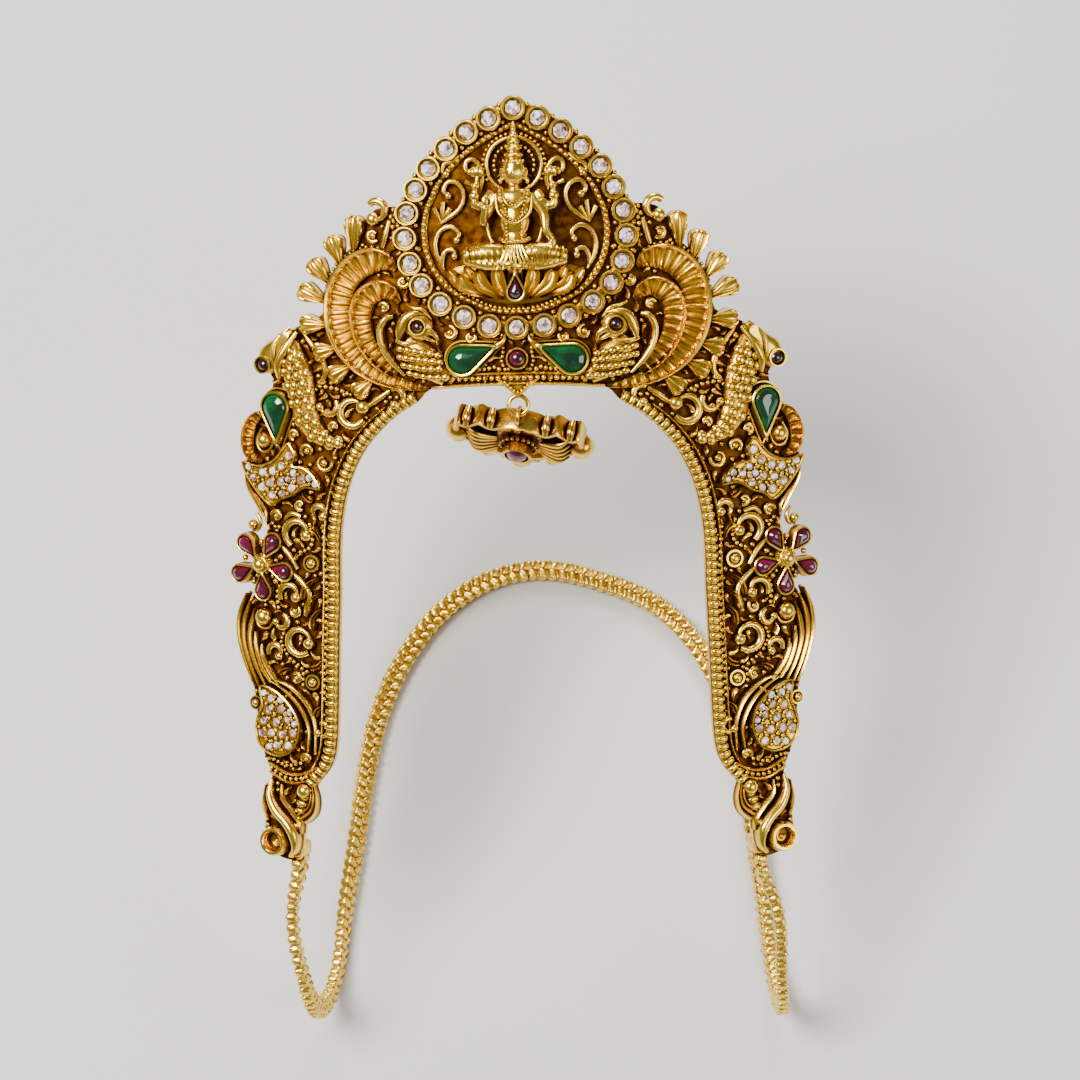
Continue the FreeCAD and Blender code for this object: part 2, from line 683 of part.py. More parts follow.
def stones():
    nodes = []
    brilliant = cutStone(size("haloStoneRadius"), size("haloCupHeight"))
    nodes.append(
        fieldNode("halo_stones", [placed(brilliant, onPlate(u, v)) for u, v in haloPath])
    )
    small = cutStone(size("paveStoneRadius"), size("paveHeight"), 0.5)
    for side, sign in (("left", -1), ("right", 1)):
        for name, places in (("leaf_stones", leafStones), ("paisley_stones", paisleyStones)):
            field = [placed(small, onPlate(sign * u, v)) for u, v in places]
            nodes.append(fieldNode(f"{name}_{side}", field))
        for name, place, radius, tip, height in pearPlaces:
            gem = pearStone(size(radius), size(tip), size(height))
            where = sidePlace(side, place["u"], place["v"], place["turn"])
            nodes.append(stoneNode(f"{name}_{side}", gem, where))
        for name, place, radius, height in roundPlaces:
            gem = roundCabochon(size(radius), height)
            nodes.append(stoneNode(f"{name}_{side}", gem, sidePlace(side, *place)))
        for index, (u, v, turn) in enumerate(flowerPetals(), start=1):
            gem = pearStone(size("petalRadius"), size("petalTip"), size("petalCupHeight"))
            where = sidePlace(side, u, v, turn)
            nodes.append(stoneNode(f"flower_ruby_{side}_{index}", gem, where))
    ruby = roundCabochon(size("bridgeRubyRadius"), 1.9)
    nodes.append(stoneNode("bridge_ruby", ruby, leaned * onPlate(*bridgeRuby)))
    garnet = pearStone(size("garnetRadius"), size("garnetTip"), 2.9)
    where = leaned * onPlate(lotusGarnet["u"], lotusGarnet["v"])
    nodes.append(stoneNode("lotus_garnet", garnet, where))
    return nodes


# Chain: a woven band that leaves each leg end on edge, bends under the plate and lies flat
# on the ground behind it. A row gives a point and how far the band leans from on edge.

groundRows = [
    ("x", "y", "lean"),
    (-27.6, -40.6, 10), (-26.9, -33.0, 22), (-25.7, -23.6, 35), (-24.6, -13.6, 48),
    (-23.0, -4.4, 60), (-19.6, 4.6, 72), (-14.2, 12.4, 82), (-7.2, 17.4, 88), (1.0, 19.0, 90),
    (8.8, 17.2, 88), (15.9, 14.0, 82), (22.4, 7.6, 72), (27.2, -2.6, 60), (29.6, -13.6, 48),
    (30.8, -23.8, 35), (31.8, -33.0, 22), (32.5, -40.6, 10),
]
frontRows = {
    "left": [(-31.9, -39.6, 24.2), (-31.0, -46.6, 19.4), (-30.0, -49.3, 12.2), (-28.9, -47.0, 5.2)],
    "right": [(33.0, -39.6, 24.2), (33.6, -46.6, 19.4), (33.9, -49.3, 12.2), (33.4, -47.0, 5.2)],
}
frontWidths = [(0, -0.62, 0.78), (0, -0.87, 0.5), (0, -1.0, 0.05), (0, -0.62, -0.78)]


def chainRoute():
    halfWidth, halfThick = size("chainWidth") / 2, size("chainThickness") / 2
    depth = size("socketDepth")
    shift = Vector(0, size("chainY"), size("chainLift"))
    rows = []
    for side, sign in (("left", -1), ("right", 1)):
        middle = -size("chainWidth") / 2
        root = leaned * onPlate(sign * socketU, socketV - depth / 2 + 1.4, middle)
        mouth = leaned * onPlate(sign * socketU, socketV - depth / 2 - 1.5, middle)
        normal = root.Rotation.multVec(sheetAxis)
        strand = [(root.Base, normal), (mouth.Base, normal)]
        for point, width in zip(frontRows[side], frontWidths):
            strand.append((Vector(*point) + shift, Vector(*width)))
        if side == "left":
            rows += strand
            for x, y, lean in groundRows[1:]:
                tilt = math.radians(lean)
                lift = halfWidth * math.cos(tilt) + halfThick * math.sin(tilt)
                rows.append((Vector(x, y, lift) + shift, tilt))
        else:
            rows += strand[::-1]
    return rows


def chainSections():
    rows = chainRoute()
    curve = Part.BSplineCurve()
    curve.interpolate([point for point, width in rows])
    marks = [curve.parameter(point) for point, width in rows]
    halfWidth, halfThick = size("chainWidth") / 2, size("chainThickness") / 2
    corner = size("chainCorner")
    profile = [
        (halfWidth - corner, halfThick), (halfWidth, halfThick - corner),
        (halfWidth, corner - halfThick), (halfWidth - corner, -halfThick),
        (corner - halfWidth, -halfThick), (-halfWidth, corner - halfThick),
        (-halfWidth, halfThick - corner), (corner - halfWidth, halfThick),
    ]
    sections = []
    for index in range(len(rows) - 1):
        steps = 2
        for step in range(steps + (index == len(rows) - 2)):
            share = step / steps
            mark = marks[index] + (marks[index + 1] - marks[index]) * share
            point = curve.value(mark)
            along = Vector(*curve.tangent(mark)[0]).normalize()
            broad = (
                widthAt(rows[index][1], along) * (1 - share)
                + widthAt(rows[index + 1][1], along) * share
            )
            broad = (broad - along * broad.dot(along)).normalize()
            thick = along.cross(broad)
            ring = [point + broad * a + thick * b for a, b in profile]
            sections.append(Part.makePolygon(ring + ring[:1]))
    return sections, curve.length(marks[0], marks[-1])


def widthAt(width, along):
    if isinstance(width, Vector):
        return width
    inward = along.cross(sheetAxis)
    return Vector(0, 0, -1) * math.cos(width) + inward * math.sin(width)


def chainBand():
    sections, length = chainSections()
    chain = doc.addObject("Part::Feature", "Chain")
    chain.Shape = Part.makeLoft(sections, True, True)
    chain.Label = "chain_band"
    area = size("chainWidth") * size("chainThickness") - 2 * size("chainCorner") ** 2
    print("chain length", round(length, 1), "volume", round(chain.Shape.Volume, 1),
          "section x length", round(area * length, 1))
    return chain


# Pendant: a lobed slab with balls under it, on a bail through the fixed ring

def pendantPlace():
    wire = leaned * onPlate(0, size("ringHeight") - size("ringRadius"), -0.1)
    return Placement(wire.Base, Rotation(sheetAxis, size("pendantYaw")))


def lobedOutline():
    half = size("pendantWidth") / 2
    drop = size("pendantDrop")
    top = [(-0.93, 0.02), (-0.6, 0.1), (-0.26, 0.06), (0.26, 0.06), (0.6, 0.1), (0.93, 0.02)]
    valleys = [(-0.79, -0.06), (-0.42, -0.02), (0.0, 0.12), (0.42, -0.02), (0.79, -0.06)]
    points = [Vector(-half, 0, -drop * 0.35)]
    crests = [Vector(x * half, 0, z * drop - 1.0) for x, z in top]
    dips = [Vector(x * half, 0, z * drop - 1.0) for x, z in valleys]
    edges = [Part.Arc(points[0], Vector(-half * 0.99, 0, -1.9), crests[0]).toShape()]
    for index, dip in enumerate(dips):
        edges.append(Part.Arc(crests[index], dip, crests[index + 1]).toShape())
    right = Vector(half, 0, -drop * 0.35)
    edges.append(Part.Arc(crests[-1], Vector(half * 0.99, 0, -1.9), right).toShape())
    low = [right, Vector(half * 0.62, 0, -drop * 0.72), Vector(0, 0, -drop),
           Vector(-half * 0.62, 0, -drop * 0.72), points[0]]
    for start, end in zip(low, low[1:]):
        edges.append(Part.LineSegment(start, end).toShape())
    return Part.Wire(edges)


ballPlaces = [(-0.94, -0.5, 1.0), (-0.5, -0.84, 0.95), (0.0, -1.04, 1.0), (0.5, -0.84, 0.95),
              (0.94, -0.5, 1.0)]


def pendantBody():
    thick = size("pendantThickness")
    half = size("pendantWidth") / 2
    hang = size("pendantHang")
    cupHeight = -size("pendantDrop") * 0.52 - hang
    slab = doc.addObject("Part::Feature", "PendantSlab")
    face = Part.Face(lobedOutline())
    slab.Shape = face.extrude(Vector(0, thick, 0))
    slab.Placement = Placement(Vector(0, -thick / 2, -hang), Rotation())
    parts = [slab]
    for index, (x, z, scale) in enumerate(ballPlaces, start=1):
        bead = doc.addObject("Part::Sphere", f"PendantBall{index}")
        bead.setExpression("Radius", f"Sizes.pendantBall * {scale}")
        bead.Placement = Placement(
            Vector(x * half, -0.4, z * size("pendantDrop") - hang), Rotation()
        )
        parts.append(bead)
    bail = doc.addObject("Part::Feature", "PendantBail")
    bail.Shape = wireRing(size("bailRadius"), size("bailWire"))
    bail.Placement = Placement(Vector(0, 0, -size("bailSag")), Rotation(upward, 90))
    cup = doc.addObject("Part::Cylinder", "PendantCup")
    cup.setExpression("Radius", "Sizes.pendantStoneRadius + Sizes.cupWall")
    cup.setExpression("Height", "Sizes.pendantCupHeight + Sizes.pendantThickness / 2")
    cup.Placement = Placement(Vector(0, 0, cupHeight), Rotation(across, 90))
    fused = doc.addObject("Part::MultiFuse", "PendantMetal")
    fused.Shapes = parts + [bail, cup]
    seat = doc.addObject("Part::Cylinder", "PendantSeat")
    seat.setExpression("Radius", "Sizes.pendantStoneRadius + Sizes.stoneGap")
    seat.Height = 2
    reach = thick / 2 + size("pendantCupHeight")
    seat.Placement = Placement(
        Vector(0, 0.75 + gap - reach + 0.05, cupHeight), Rotation(across, 90)
    )
    body = doc.addObject("Part::Cut", "Pendant")
    body.Base, body.Tool = fused, seat
    body.Placement = pendantPlace()
    body.Label = "pendant_body"
    return body


def pendantStone():
    reach = size("pendantThickness") / 2 + size("pendantCupHeight")
    gem = roundCabochon(size("pendantStoneRadius"), reach)
    height = -size("pendantDrop") * 0.52 - size("pendantHang")
    seat = Placement(Vector(0, 0, height), Rotation(across, 90))
    return stoneNode("pendant_stone", gem, pendantPlace() * seat)


nodes = [frontPlate()] + stones() + [chainBand(), pendantBody(), pendantStone()]
doc.recompute()

for item in doc.Objects:
    if "Invalid" in item.State or "Error" in item.State:
        raise RuntimeError(f"{item.Name} failed: {item.State}")
for node in nodes:
    if node.Shape.isNull() or not node.Shape.isValid():
        raise RuntimeError(f"{node.Label} has no valid shape")

os.makedirs("parts", exist_ok=True)
for node in nodes:
    node.Shape.exportStep(f"parts/{node.Label}.step")
    box = node.Shape.BoundBox
    print(node.Label, len(node.Shape.Solids), round(node.Shape.Volume, 2),
          [round(value, 1) for value in (box.XMin, box.YMin, box.ZMin, box.XMax, box.YMax, box.ZMax)])
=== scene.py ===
import bpy
import bmesh
import json
import math
import numpy as np
from mathutils import Matrix, Vector


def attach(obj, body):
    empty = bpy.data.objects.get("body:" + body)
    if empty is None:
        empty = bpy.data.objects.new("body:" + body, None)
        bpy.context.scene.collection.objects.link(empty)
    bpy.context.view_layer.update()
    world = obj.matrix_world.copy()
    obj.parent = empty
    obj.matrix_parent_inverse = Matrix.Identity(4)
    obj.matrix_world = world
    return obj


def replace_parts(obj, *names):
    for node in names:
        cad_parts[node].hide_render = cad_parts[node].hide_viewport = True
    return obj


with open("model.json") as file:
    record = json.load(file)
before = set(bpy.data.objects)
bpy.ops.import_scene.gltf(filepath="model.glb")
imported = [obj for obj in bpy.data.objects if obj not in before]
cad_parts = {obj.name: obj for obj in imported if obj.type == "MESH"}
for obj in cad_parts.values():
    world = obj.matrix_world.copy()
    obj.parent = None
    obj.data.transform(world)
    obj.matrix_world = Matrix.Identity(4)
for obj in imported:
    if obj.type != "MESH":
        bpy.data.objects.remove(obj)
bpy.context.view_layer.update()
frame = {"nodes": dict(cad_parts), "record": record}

mm = 0.001
bend = 79.0  # mm, radius of the plate's curve
lean = math.radians(30)
plateY, plateZ = 7.292, 61.1  # mm, where the plate's own origin stands
foot = -0.3  # mm, how deep raised forms reach into the wall
leaned = Matrix.Translation((0, plateY, plateZ)) @ Matrix.Rotation(lean, 4, "X")


# Places on the bent plate: u along it, v up it, w out of it, in mm

def onPlate(u, v, w=0.0, turn=0.0):
    angle = u / bend
    place = Vector(((bend + w) * math.sin(angle), v, (bend + w) * math.cos(angle) - bend))
    facing = Matrix.Rotation(angle, 4, "Y") @ Matrix.Rotation(math.radians(turn), 4, "Z")
    return leaned @ Matrix.Translation(place) @ facing


def bent(points):
    flat = np.asarray(points, float).reshape(-1, 3)
    angle = flat[:, 0] / bend
    x = (bend + flat[:, 2]) * np.sin(angle)
    n = (bend + flat[:, 2]) * np.cos(angle) - bend
    y = flat[:, 1] * math.cos(lean) - n * math.sin(lean) + plateY
    z = flat[:, 1] * math.sin(lean) + n * math.cos(lean) + plateZ
    return np.stack([x, y, z], axis=1)


def smooth(rows, steps=5, closed=False):
    data = np.asarray(rows, float)
    count = len(data)
    if not closed:
        data = np.vstack([2 * data[0] - data[1], data, 2 * data[-1] - data[-2]])
    out = []
    for index in range(count if closed else count - 1):
        if closed:
            p = [data[(index + k) % count] for k in (-1, 0, 1, 2)]
        else:
            p = data[index:index + 4]
        for step in range(steps):
            t = step / steps
            out.append(0.5 * (2 * p[1] + (p[2] - p[0]) * t
                              + (2 * p[0] - 5 * p[1] + 4 * p[2] - p[3]) * t ** 2
                              + (3 * p[1] - p[0] - 3 * p[2] + p[3]) * t ** 3))
    if not closed:
        out.append(data[-2])
    return np.array(out)


def distances(points):  # from the line's start
    return np.r_[0, np.cumsum(np.linalg.norm(np.diff(points, axis=0), axis=1))]


def headings(line, closed):  # unit vectors
    ahead = np.roll(line, -1, axis=0) - np.roll(line, 1, axis=0)
    if not closed:
        ahead[0], ahead[-1] = line[1] - line[0], line[-1] - line[-2]
    return ahead / np.maximum(np.linalg.norm(ahead, axis=1), 1e-9)[:, None]


def movedIn(ring, depth):  # ring: closed u, v
    run = headings(ring, True)
    area = np.sum(ring[:, 0] * np.roll(ring[:, 1], -1) - np.roll(ring[:, 0], -1) * ring[:, 1])
    return ring + np.stack([-run[:, 1], run[:, 0]], axis=1) * (depth * np.sign(area))


def circle(sides, power=1.0):  # a lower power makes it squarer
    turns = [2 * math.pi * k / sides for k in range(sides)]
    rows = [(math.cos(turn), math.sin(turn)) for turn in turns]
    return [(math.copysign(abs(c) ** power, c), math.copysign(abs(s) ** power, s)) for c, s in rows]


def wholeLoop(half):  # half: u, v of the right side, from the top's middle to the foot's
    return half + [(-u, v) for u, v in half[-2:0:-1]]


def spaced(points, pitch, closed=False):
    line = np.asarray(points, float)
    if closed:
        line = np.vstack([line, line[:1]])
    along = distances(line[:, :2])
    count = max(2, int(round(along[-1] / pitch)))
    marks = np.linspace(0, along[-1], count + 1)
    if closed:
        marks = marks[:-1]
    rows = []
    for mark in marks:
        k = min(np.searchsorted(along, mark, "right"), len(line) - 1)
        span = max(along[k] - along[k - 1], 1e-9)
        point = line[k - 1] + (line[k] - line[k - 1]) * (mark - along[k - 1]) / span
        run = line[k] - line[k - 1]
        rows.append((*point[:2], math.degrees(math.atan2(run[1], run[0]))))
    return rows


filled = []  # u, v of the right half that ornament already covers
coverHeight = 0.35  # mm, above this a form counts as ornament


class Metal:  # vertices and faces of one piece, in plate millimetres

    def __init__(self):
        self.points, self.faces = [], []

    def add(self, points, faces):
        base = len(self.points)
        self.points.extend([tuple(map(float, p)) for p in points])
        self.faces.extend([tuple(base + i for i in face) for face in faces])

    def mirrored(self):
        base = len(self.points)
        self.points += [(-u, v, w) for u, v, w in self.points]
        self.faces += [tuple(base + i for i in face[::-1]) for face in self.faces]

    def loft(self, rings, loop=False):
        count, total = len(rings[0]), len(rings)
        points = [point for ring in rings for point in ring]
        faces = []
        for row in range(total if loop else total - 1):
            this, after = row * count, (row + 1) % total * count
            for k in range(count):
                side = (k + 1) % count
                faces.append((this + k, this + side, after + side, after + k))
        if not loop:
            for row in (0, total - 1):
                points.append(tuple(np.mean(np.asarray(rings[row], float), axis=0)))
                top = len(points) - 1
                for k in range(count):
                    faces.append((row * count + k, row * count + (k + 1) % count, top))
        self.add(points, faces)

    def ribbon(self, rows, profile, steps=5, closed=False, wave=None):
        line = smooth(rows, steps, closed)  # u, v, half width, height
        ahead = headings(line[:, :2], closed)
        run = distances(line[:, :2])
        rings = []
        for (u, v, half, height), (du, dv), mark in zip(line, ahead, run / run[-1]):
            ring = []
            for a, k in profile:  # place across from -1 to 1, share of the height
                lift = 1 if wave is None else wave(mark, a)
                ring.append((u - dv * a * half, v + du * a * half, height * k * lift))
            ring.append((u - dv * half, v + du * half, foot))
            ring.append((u + dv * half, v - du * half, foot))
            rings.append(ring)
        self.loft(rings, closed)

    def tube(self, points, radii, sides=10, steps=5, closed=False):
        data = np.asarray(points, float)  # u, v, w
        size = np.broadcast_to(np.asarray(radii, float), (len(data),))[:, None]  # one or one each
        line = smooth(np.hstack([data, size]), steps, closed)
        rings = []
        for (u, v, w, radius), run in zip(line, headings(line[:, :3], closed)):
            side = np.cross(run, (0, 0, 1.0))
            if np.linalg.norm(side) < 0.05:  # nearly upright
                side = np.array((1.0, 0, 0))
            side /= np.linalg.norm(side)
            over = np.cross(side, run)
            rings.append([np.array((u, v, w)) + radius * (side * c + over * s)
                          for c, s in circle(sides)])
        self.loft(rings, closed)

    def turned(self, u, v, rows, sides=20):  # rows: radius, height, from the foot over the lip
        self.loft([[(u + radius * c, v + radius * s, w) for c, s in circle(sides)]
                   for radius, w in rows])

    def ball(self, u, v, w, radius, sides=12, squash=1.0):
        rows = []
        for row in range(1, sides // 2):
            tilt = math.pi * row / (sides // 2)
            rows.append((radius * math.sin(tilt), w + radius * squash * math.cos(tilt)))
        self.turned(u, v, rows, sides)

    def shelf(self, outline, rows):  # rows: how far in from the outline, height
        ring = np.asarray(outline, float)[:, :2]
        self.loft([[(u, v, w) for u, v in movedIn(ring, inset)] for inset, w in rows])

    def piece(self, name, material, slot="antique_gold", body="armlet", place=None):
        if place is None:
            filled.extend((u, v) for u, v, w in self.points if w > coverHeight and u > -0.5)
            points = bent(self.points) * mm
        else:
            points = np.array([tuple(place @ Vector(point)) for point in self.points]) * mm
        mesh = newMesh(name, [tuple(point) for point in points], self.faces)
        mesh.materials.append(material)
        return settle(name, mesh, body)


def newMesh(name, points, faces):
    mesh = bpy.data.meshes.new(name)
    mesh.from_pydata(points, [], faces)
    tidyMesh(mesh)
    return mesh


def tidyMesh(mesh):
    work = bmesh.new()
    work.from_mesh(mesh)
    bmesh.ops.remove_doubles(work, verts=work.verts, dist=0.000002)
    bmesh.ops.dissolve_degenerate(work, edges=work.edges, dist=0.000001)
    bmesh.ops.recalc_face_normals(work, faces=work.faces)
    for face in work.faces:
        face.smooth = True
    work.to_mesh(mesh)
    work.free()
    mesh.set_sharp_from_angle(angle=math.radians(50))


def linked(name, data):
    thing = bpy.data.objects.new(name, data)
    bpy.context.scene.collection.objects.link(thing)
    return thing


def settle(name, mesh, body):
    piece = linked(name, mesh)
    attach(piece, body)
    return piece


def strands(count, valley, each=4):  # count ribs across, each of four steps
    rows = []
    for k in range(count * each + 1):
        share = k / (count * each)
        crest = abs(math.sin(math.pi * count * share))
        edge = min(1, 4 * min(share, 1 - share) + 0.25)
        rows.append((2 * share - 1, (valley + (1 - valley) * crest) * edge))
    return rows


def evenSides(half):  # half: rows from the left end to the middle
    return half + [(-row[0], *row[1:]) for row in half[-2::-1]]


# Profiles across a ribbon: place from -1 to 1, share of the height
archTop = [(-math.cos(math.pi * k / 6), math.sin(math.pi * k / 6)) for k in range(7)]
flatRound = evenSides([(-1, 0), (-0.95, 0.5), (-0.75, 0.86), (-0.4, 1), (0, 1.02)])
ribbed = [(-1, 0), (-0.98, 0.55), (-0.92, 0.66), (-0.84, 0.62), (-0.7, 0.5), (-0.45, 0.44),
          (-0.15, 0.47), (0.15, 0.56), (0.4, 0.68), (0.58, 0.78), (0.66, 0.74), (0.72, 0.9),
          (0.82, 1.02), (0.92, 0.96), (0.99, 0.6), (1, 0)]
hollow = evenSides([(-1, 0), (-0.97, 0.85), (-0.84, 1), (-0.7, 0.92), (-0.42, 0.72), (0, 0.64)])
plumeTop = evenSides([(-1, 0), (-0.99, 0.7), (-0.88, 0.96), (-0.72, 1), (-0.56, 0.92), (-0.44, 0.8),
                      (-0.34, 0.82), (-0.18, 0.94), (0, 0.97)])


# Colours and materials

def colour(code):
    parts = [int(code[k:k + 2], 16) / 255 for k in (1, 3, 5)]
    return tuple(c / 12.92 if c <= 0.04045 else ((c + 0.055) / 1.055) ** 2.4 for c in parts) + (1,)


def node(tree, kind, links=(), **settings):
    made = tree.nodes.new(kind)
    for key, value in settings.items():
        setattr(made, key, value)
    for socket, source in links:
        if hasattr(source, "is_output"):
            tree.links.new(source, made.inputs[socket])
        else:
            made.inputs[socket].default_value = source
    return made


def ramp(tree, factor, stops):
    made = node(tree, "ShaderNodeValToRGB", [("Fac", factor)])
    bar = made.color_ramp.elements
    while len(bar) < len(stops):
        bar.new(0.5)
    for mark, (place, code) in zip(bar, stops):
        mark.position = place
        mark.color = colour(code)
    return made.outputs["Color"]


def span(tree, value, low, high, to=(0.0, 1.0)):
    return node(tree, "ShaderNodeMapRange", [
        ("Value", value), ("From Min", low), ("From Max", high), ("To Min", to[0]),
        ("To Max", to[1])]).outputs["Result"]


def maths(tree, operation, a, b=0.0, clamp=False):
    return node(tree, "ShaderNodeMath", [(0, a), (1, b)], operation=operation,
                use_clamp=clamp).outputs[0]


def noise(tree, place, scale, detail):
    return node(tree, "ShaderNodeTexNoise", [("Vector", place), ("Scale", scale),
                                             ("Detail", detail)]).outputs["Fac"]


def roughen(tree, shader, height, strength, distance):
    bump = node(tree, "ShaderNodeBump", [("Height", height), ("Strength", strength),
                                         ("Distance", distance)])
    tree.links.new(bump.outputs["Normal"], shader.inputs["Normal"])


def plateHeight(tree, position):  # mm above the plate's face, from its bend and its lean
    back = node(tree, "ShaderNodeVectorMath", [(0, position), (1, (0, -plateY * mm, -plateZ * mm))],
                operation="ADD")
    level = node(tree, "ShaderNodeVectorRotate", [("Vector", back.outputs[0]),
                                                  ("Axis", (1, 0, 0)), ("Angle", -lean)])
    across = node(tree, "ShaderNodeVectorMath", [(0, level.outputs[0]), (1, (1000, 0, 1000))],
                  operation="MULTIPLY")
    centre = node(tree, "ShaderNodeVectorMath", [(0, across.outputs[0]), (1, (0, 0, bend))],
                  operation="ADD")
    far = node(tree, "ShaderNodeVectorMath", [(0, centre.outputs[0])], operation="LENGTH")
    return maths(tree, "SUBTRACT", far.outputs["Value"], bend)


def newMaterial(name, values):
    material = bpy.data.materials.new(name)
    material.use_nodes = True
    shader = material.node_tree.nodes["Principled BSDF"]
    for key, value in values.items():
        shader.inputs[key].default_value = value
    return material, material.node_tree, shader


# Gold tones from hollow to crest: the recess and low tones are antique patina deepened by painted
# shade, the top tone is rubbed wear with a painted highlight.
goldLook = {
    "recess": "#381500", "low": "#83570A", "middle": "#C69C16", "high": "#EFBA2A",
    "wornHighlight": "#FFD44E", "shadeReach": 0.8, "shadeLow": 0.16, "shadeHigh": 0.93,
}
chainGoldLook = {
    "recess": "#3E1E00", "low": "#98660A", "middle": "#D49E1C", "high": "#EEBC36",
    "wornHighlight": "#FFDA62", "shadeReach": 0.8, "shadeLow": 0.3, "shadeHigh": 0.95,
}
# A darker copy of the gold, painted shade for the pendant and the chain's sockets.
shadedDropGoldLook = {
    "recess": "#1E0A02", "low": "#653506", "middle": "#A86C10", "high": "#D9A02C",
    "wornHighlight": "#F6CC5A", "shadeReach": 1.8, "shadeLow": 0.35, "shadeHigh": 0.98,
}


def goldMaterial(name, look, floorHeight=None, roughLow=0.5, roughHigh=0.24):
    material, tree, shader = newMaterial(name, {"Metallic": 1.0})
    place = node(tree, "ShaderNodeTexCoord").outputs["Object"]
    # Ambient occlusion darkens the hollows: painted shade on top of the antique patina.
    cavity = node(tree, "ShaderNodeAmbientOcclusion", [("Distance", look["shadeReach"] * mm)],
                  samples=6)
    litAndBare = span(tree, cavity.outputs["AO"], look["shadeLow"], look["shadeHigh"])
    if floorHeight is not None:
        away = maths(tree, "ABSOLUTE", plateHeight(tree, place))
        litAndBare = maths(tree, "MULTIPLY", litAndBare, span(tree, away, *floorHeight, (0.06, 1.0)))
    uneven = span(tree, noise(tree, place, 900.0, 3.0), 0.3, 0.7, (-0.09, 0.09))
    mixed = maths(tree, "ADD", litAndBare, uneven, clamp=True)
    # The most open crests take the top tone, a painted highlight on rubbed gold.
    tones = zip((0.0, 0.3, 0.56, 0.85, 1.0), ("recess", "low", "middle", "high", "wornHighlight"))
    tone = ramp(tree, mixed, [(mark, look[key]) for mark, key in tones])
    tree.links.new(tone, shader.inputs["Base Color"])
    rough = span(tree, mixed, 0.1, 0.9, (roughLow, roughHigh))
    tree.links.new(rough, shader.inputs["Roughness"])
    roughen(tree, shader, noise(tree, place, 2600.0, 4.0), 0.25, 0.00006)
    return material


def gemMaterial(name, deep, light, cut=False):
    material, tree, shader = newMaterial(name, {"Roughness": 0.06, "IOR": 1.62, "Coat Weight": 0.6,
                                                "Coat Roughness": 0.03})
    place = node(tree, "ShaderNodeTexCoord").outputs["Object"]
    if cut:
        facet = node(tree, "ShaderNodeTexVoronoi", [("Vector", place), ("Scale", 1900.0)])
        split = node(tree, "ShaderNodeSeparateColor", [("Color", facet.outputs["Color"])])
        tone = ramp(tree, split.outputs[0], [(0.0, deep), (0.28, "#C08F80"), (0.5, "#E3CCC8"),
                                             (0.75, light), (1.0, light)])
        roughen(tree, shader, facet.outputs["Distance"], 1.0, 0.0004)
    else:
        # Lighter where the surface turns from the camera: a painted sheen at the stone's edge, over
        # random tone.
        edge = node(tree, "ShaderNodeLayerWeight", [("Blend", 0.35)])
        toneAndEdgeSheen = maths(tree, "ADD", noise(tree, place, 420.0, 3.0), edge.outputs["Facing"])
        tone = ramp(tree, span(tree, toneAndEdgeSheen, 0.4, 1.3), [(0.0, deep), (0.9, light)])
    tree.links.new(tone, shader.inputs["Base Color"])
    return material


castGold = goldMaterial("castAntiqueGold", goldLook, (0.04, 0.7))  # pale crests with a painted highlight, brown ground with painted shade in the hollows
stampGold = goldMaterial("beadGold", goldLook, (0.05, 0.7))  # bright bead tops with a painted highlight, dark joints from painted shade and patina
ringGold = goldMaterial("plainWireGold", goldLook, None, 0.45, 0.22)  # even shine, no dark ground
chainGold = goldMaterial("wovenPaleGold", chainGoldLook, None, 0.46, 0.28)  # soft, paler links
shadedDropGold = goldMaterial("paintedShadeDropGold", shadedDropGoldLook, None, 0.45, 0.2)  # painted shade: darker all over, deep brown hollows
emerald = gemMaterial("emeraldGlass", "#01200D", "#0A6A30")  # dark green, with a painted sheen at its edge
ruby = gemMaterial("rubyGlass", "#22020C", "#7C0C38")  # wine red, with a painted sheen at its edge
garnet = gemMaterial("garnetGlass", "#150208", "#4A0818")  # nearly black red, with a painted sheen at its edge
brilliant = gemMaterial("whiteCutStone", "#5E4A48", "#FFFBFA", True)  # white and grey-pink facets


# Small repeats, set out by Geometry Nodes on points that carry a turn and a size

def copyUnit(name, metal):
    return bpy.data.objects.new(name, newMesh(name, metal.points, metal.faces))


def roundUnit(name, rows, sides=10, power=1.0):  # rows: radius, height
    metal = Metal()
    metal.loft([[(radius * c, radius * s, w) for c, s in circle(sides, power)]
                for radius, w in rows])
    return copyUnit(name, metal)


beadUnit = roundUnit("beadUnit", [(0.62, -0.75), (0.95, -0.3), (1.0, 0.05), (0.86, 0.5),
                                  (0.5, 0.86), (0.15, 0.985)])
barUnit = roundUnit("barUnit", [(0.95, -0.6), (1.0, 0.1), (0.93, 0.5), (0.72, 0.82), (0.3, 0.97)],
                    16, 0.6)
scaleUnit = roundUnit("scaleUnit", [(1.12, -0.5), (1.1, 0.1), (0.95, 0.55), (0.7, 0.85),
                                    (0.3, 1.0)], 8)
repeatLook = {"scale": 1.0, "seed": 7, "smallest": 0.93, "largest": 1.05}


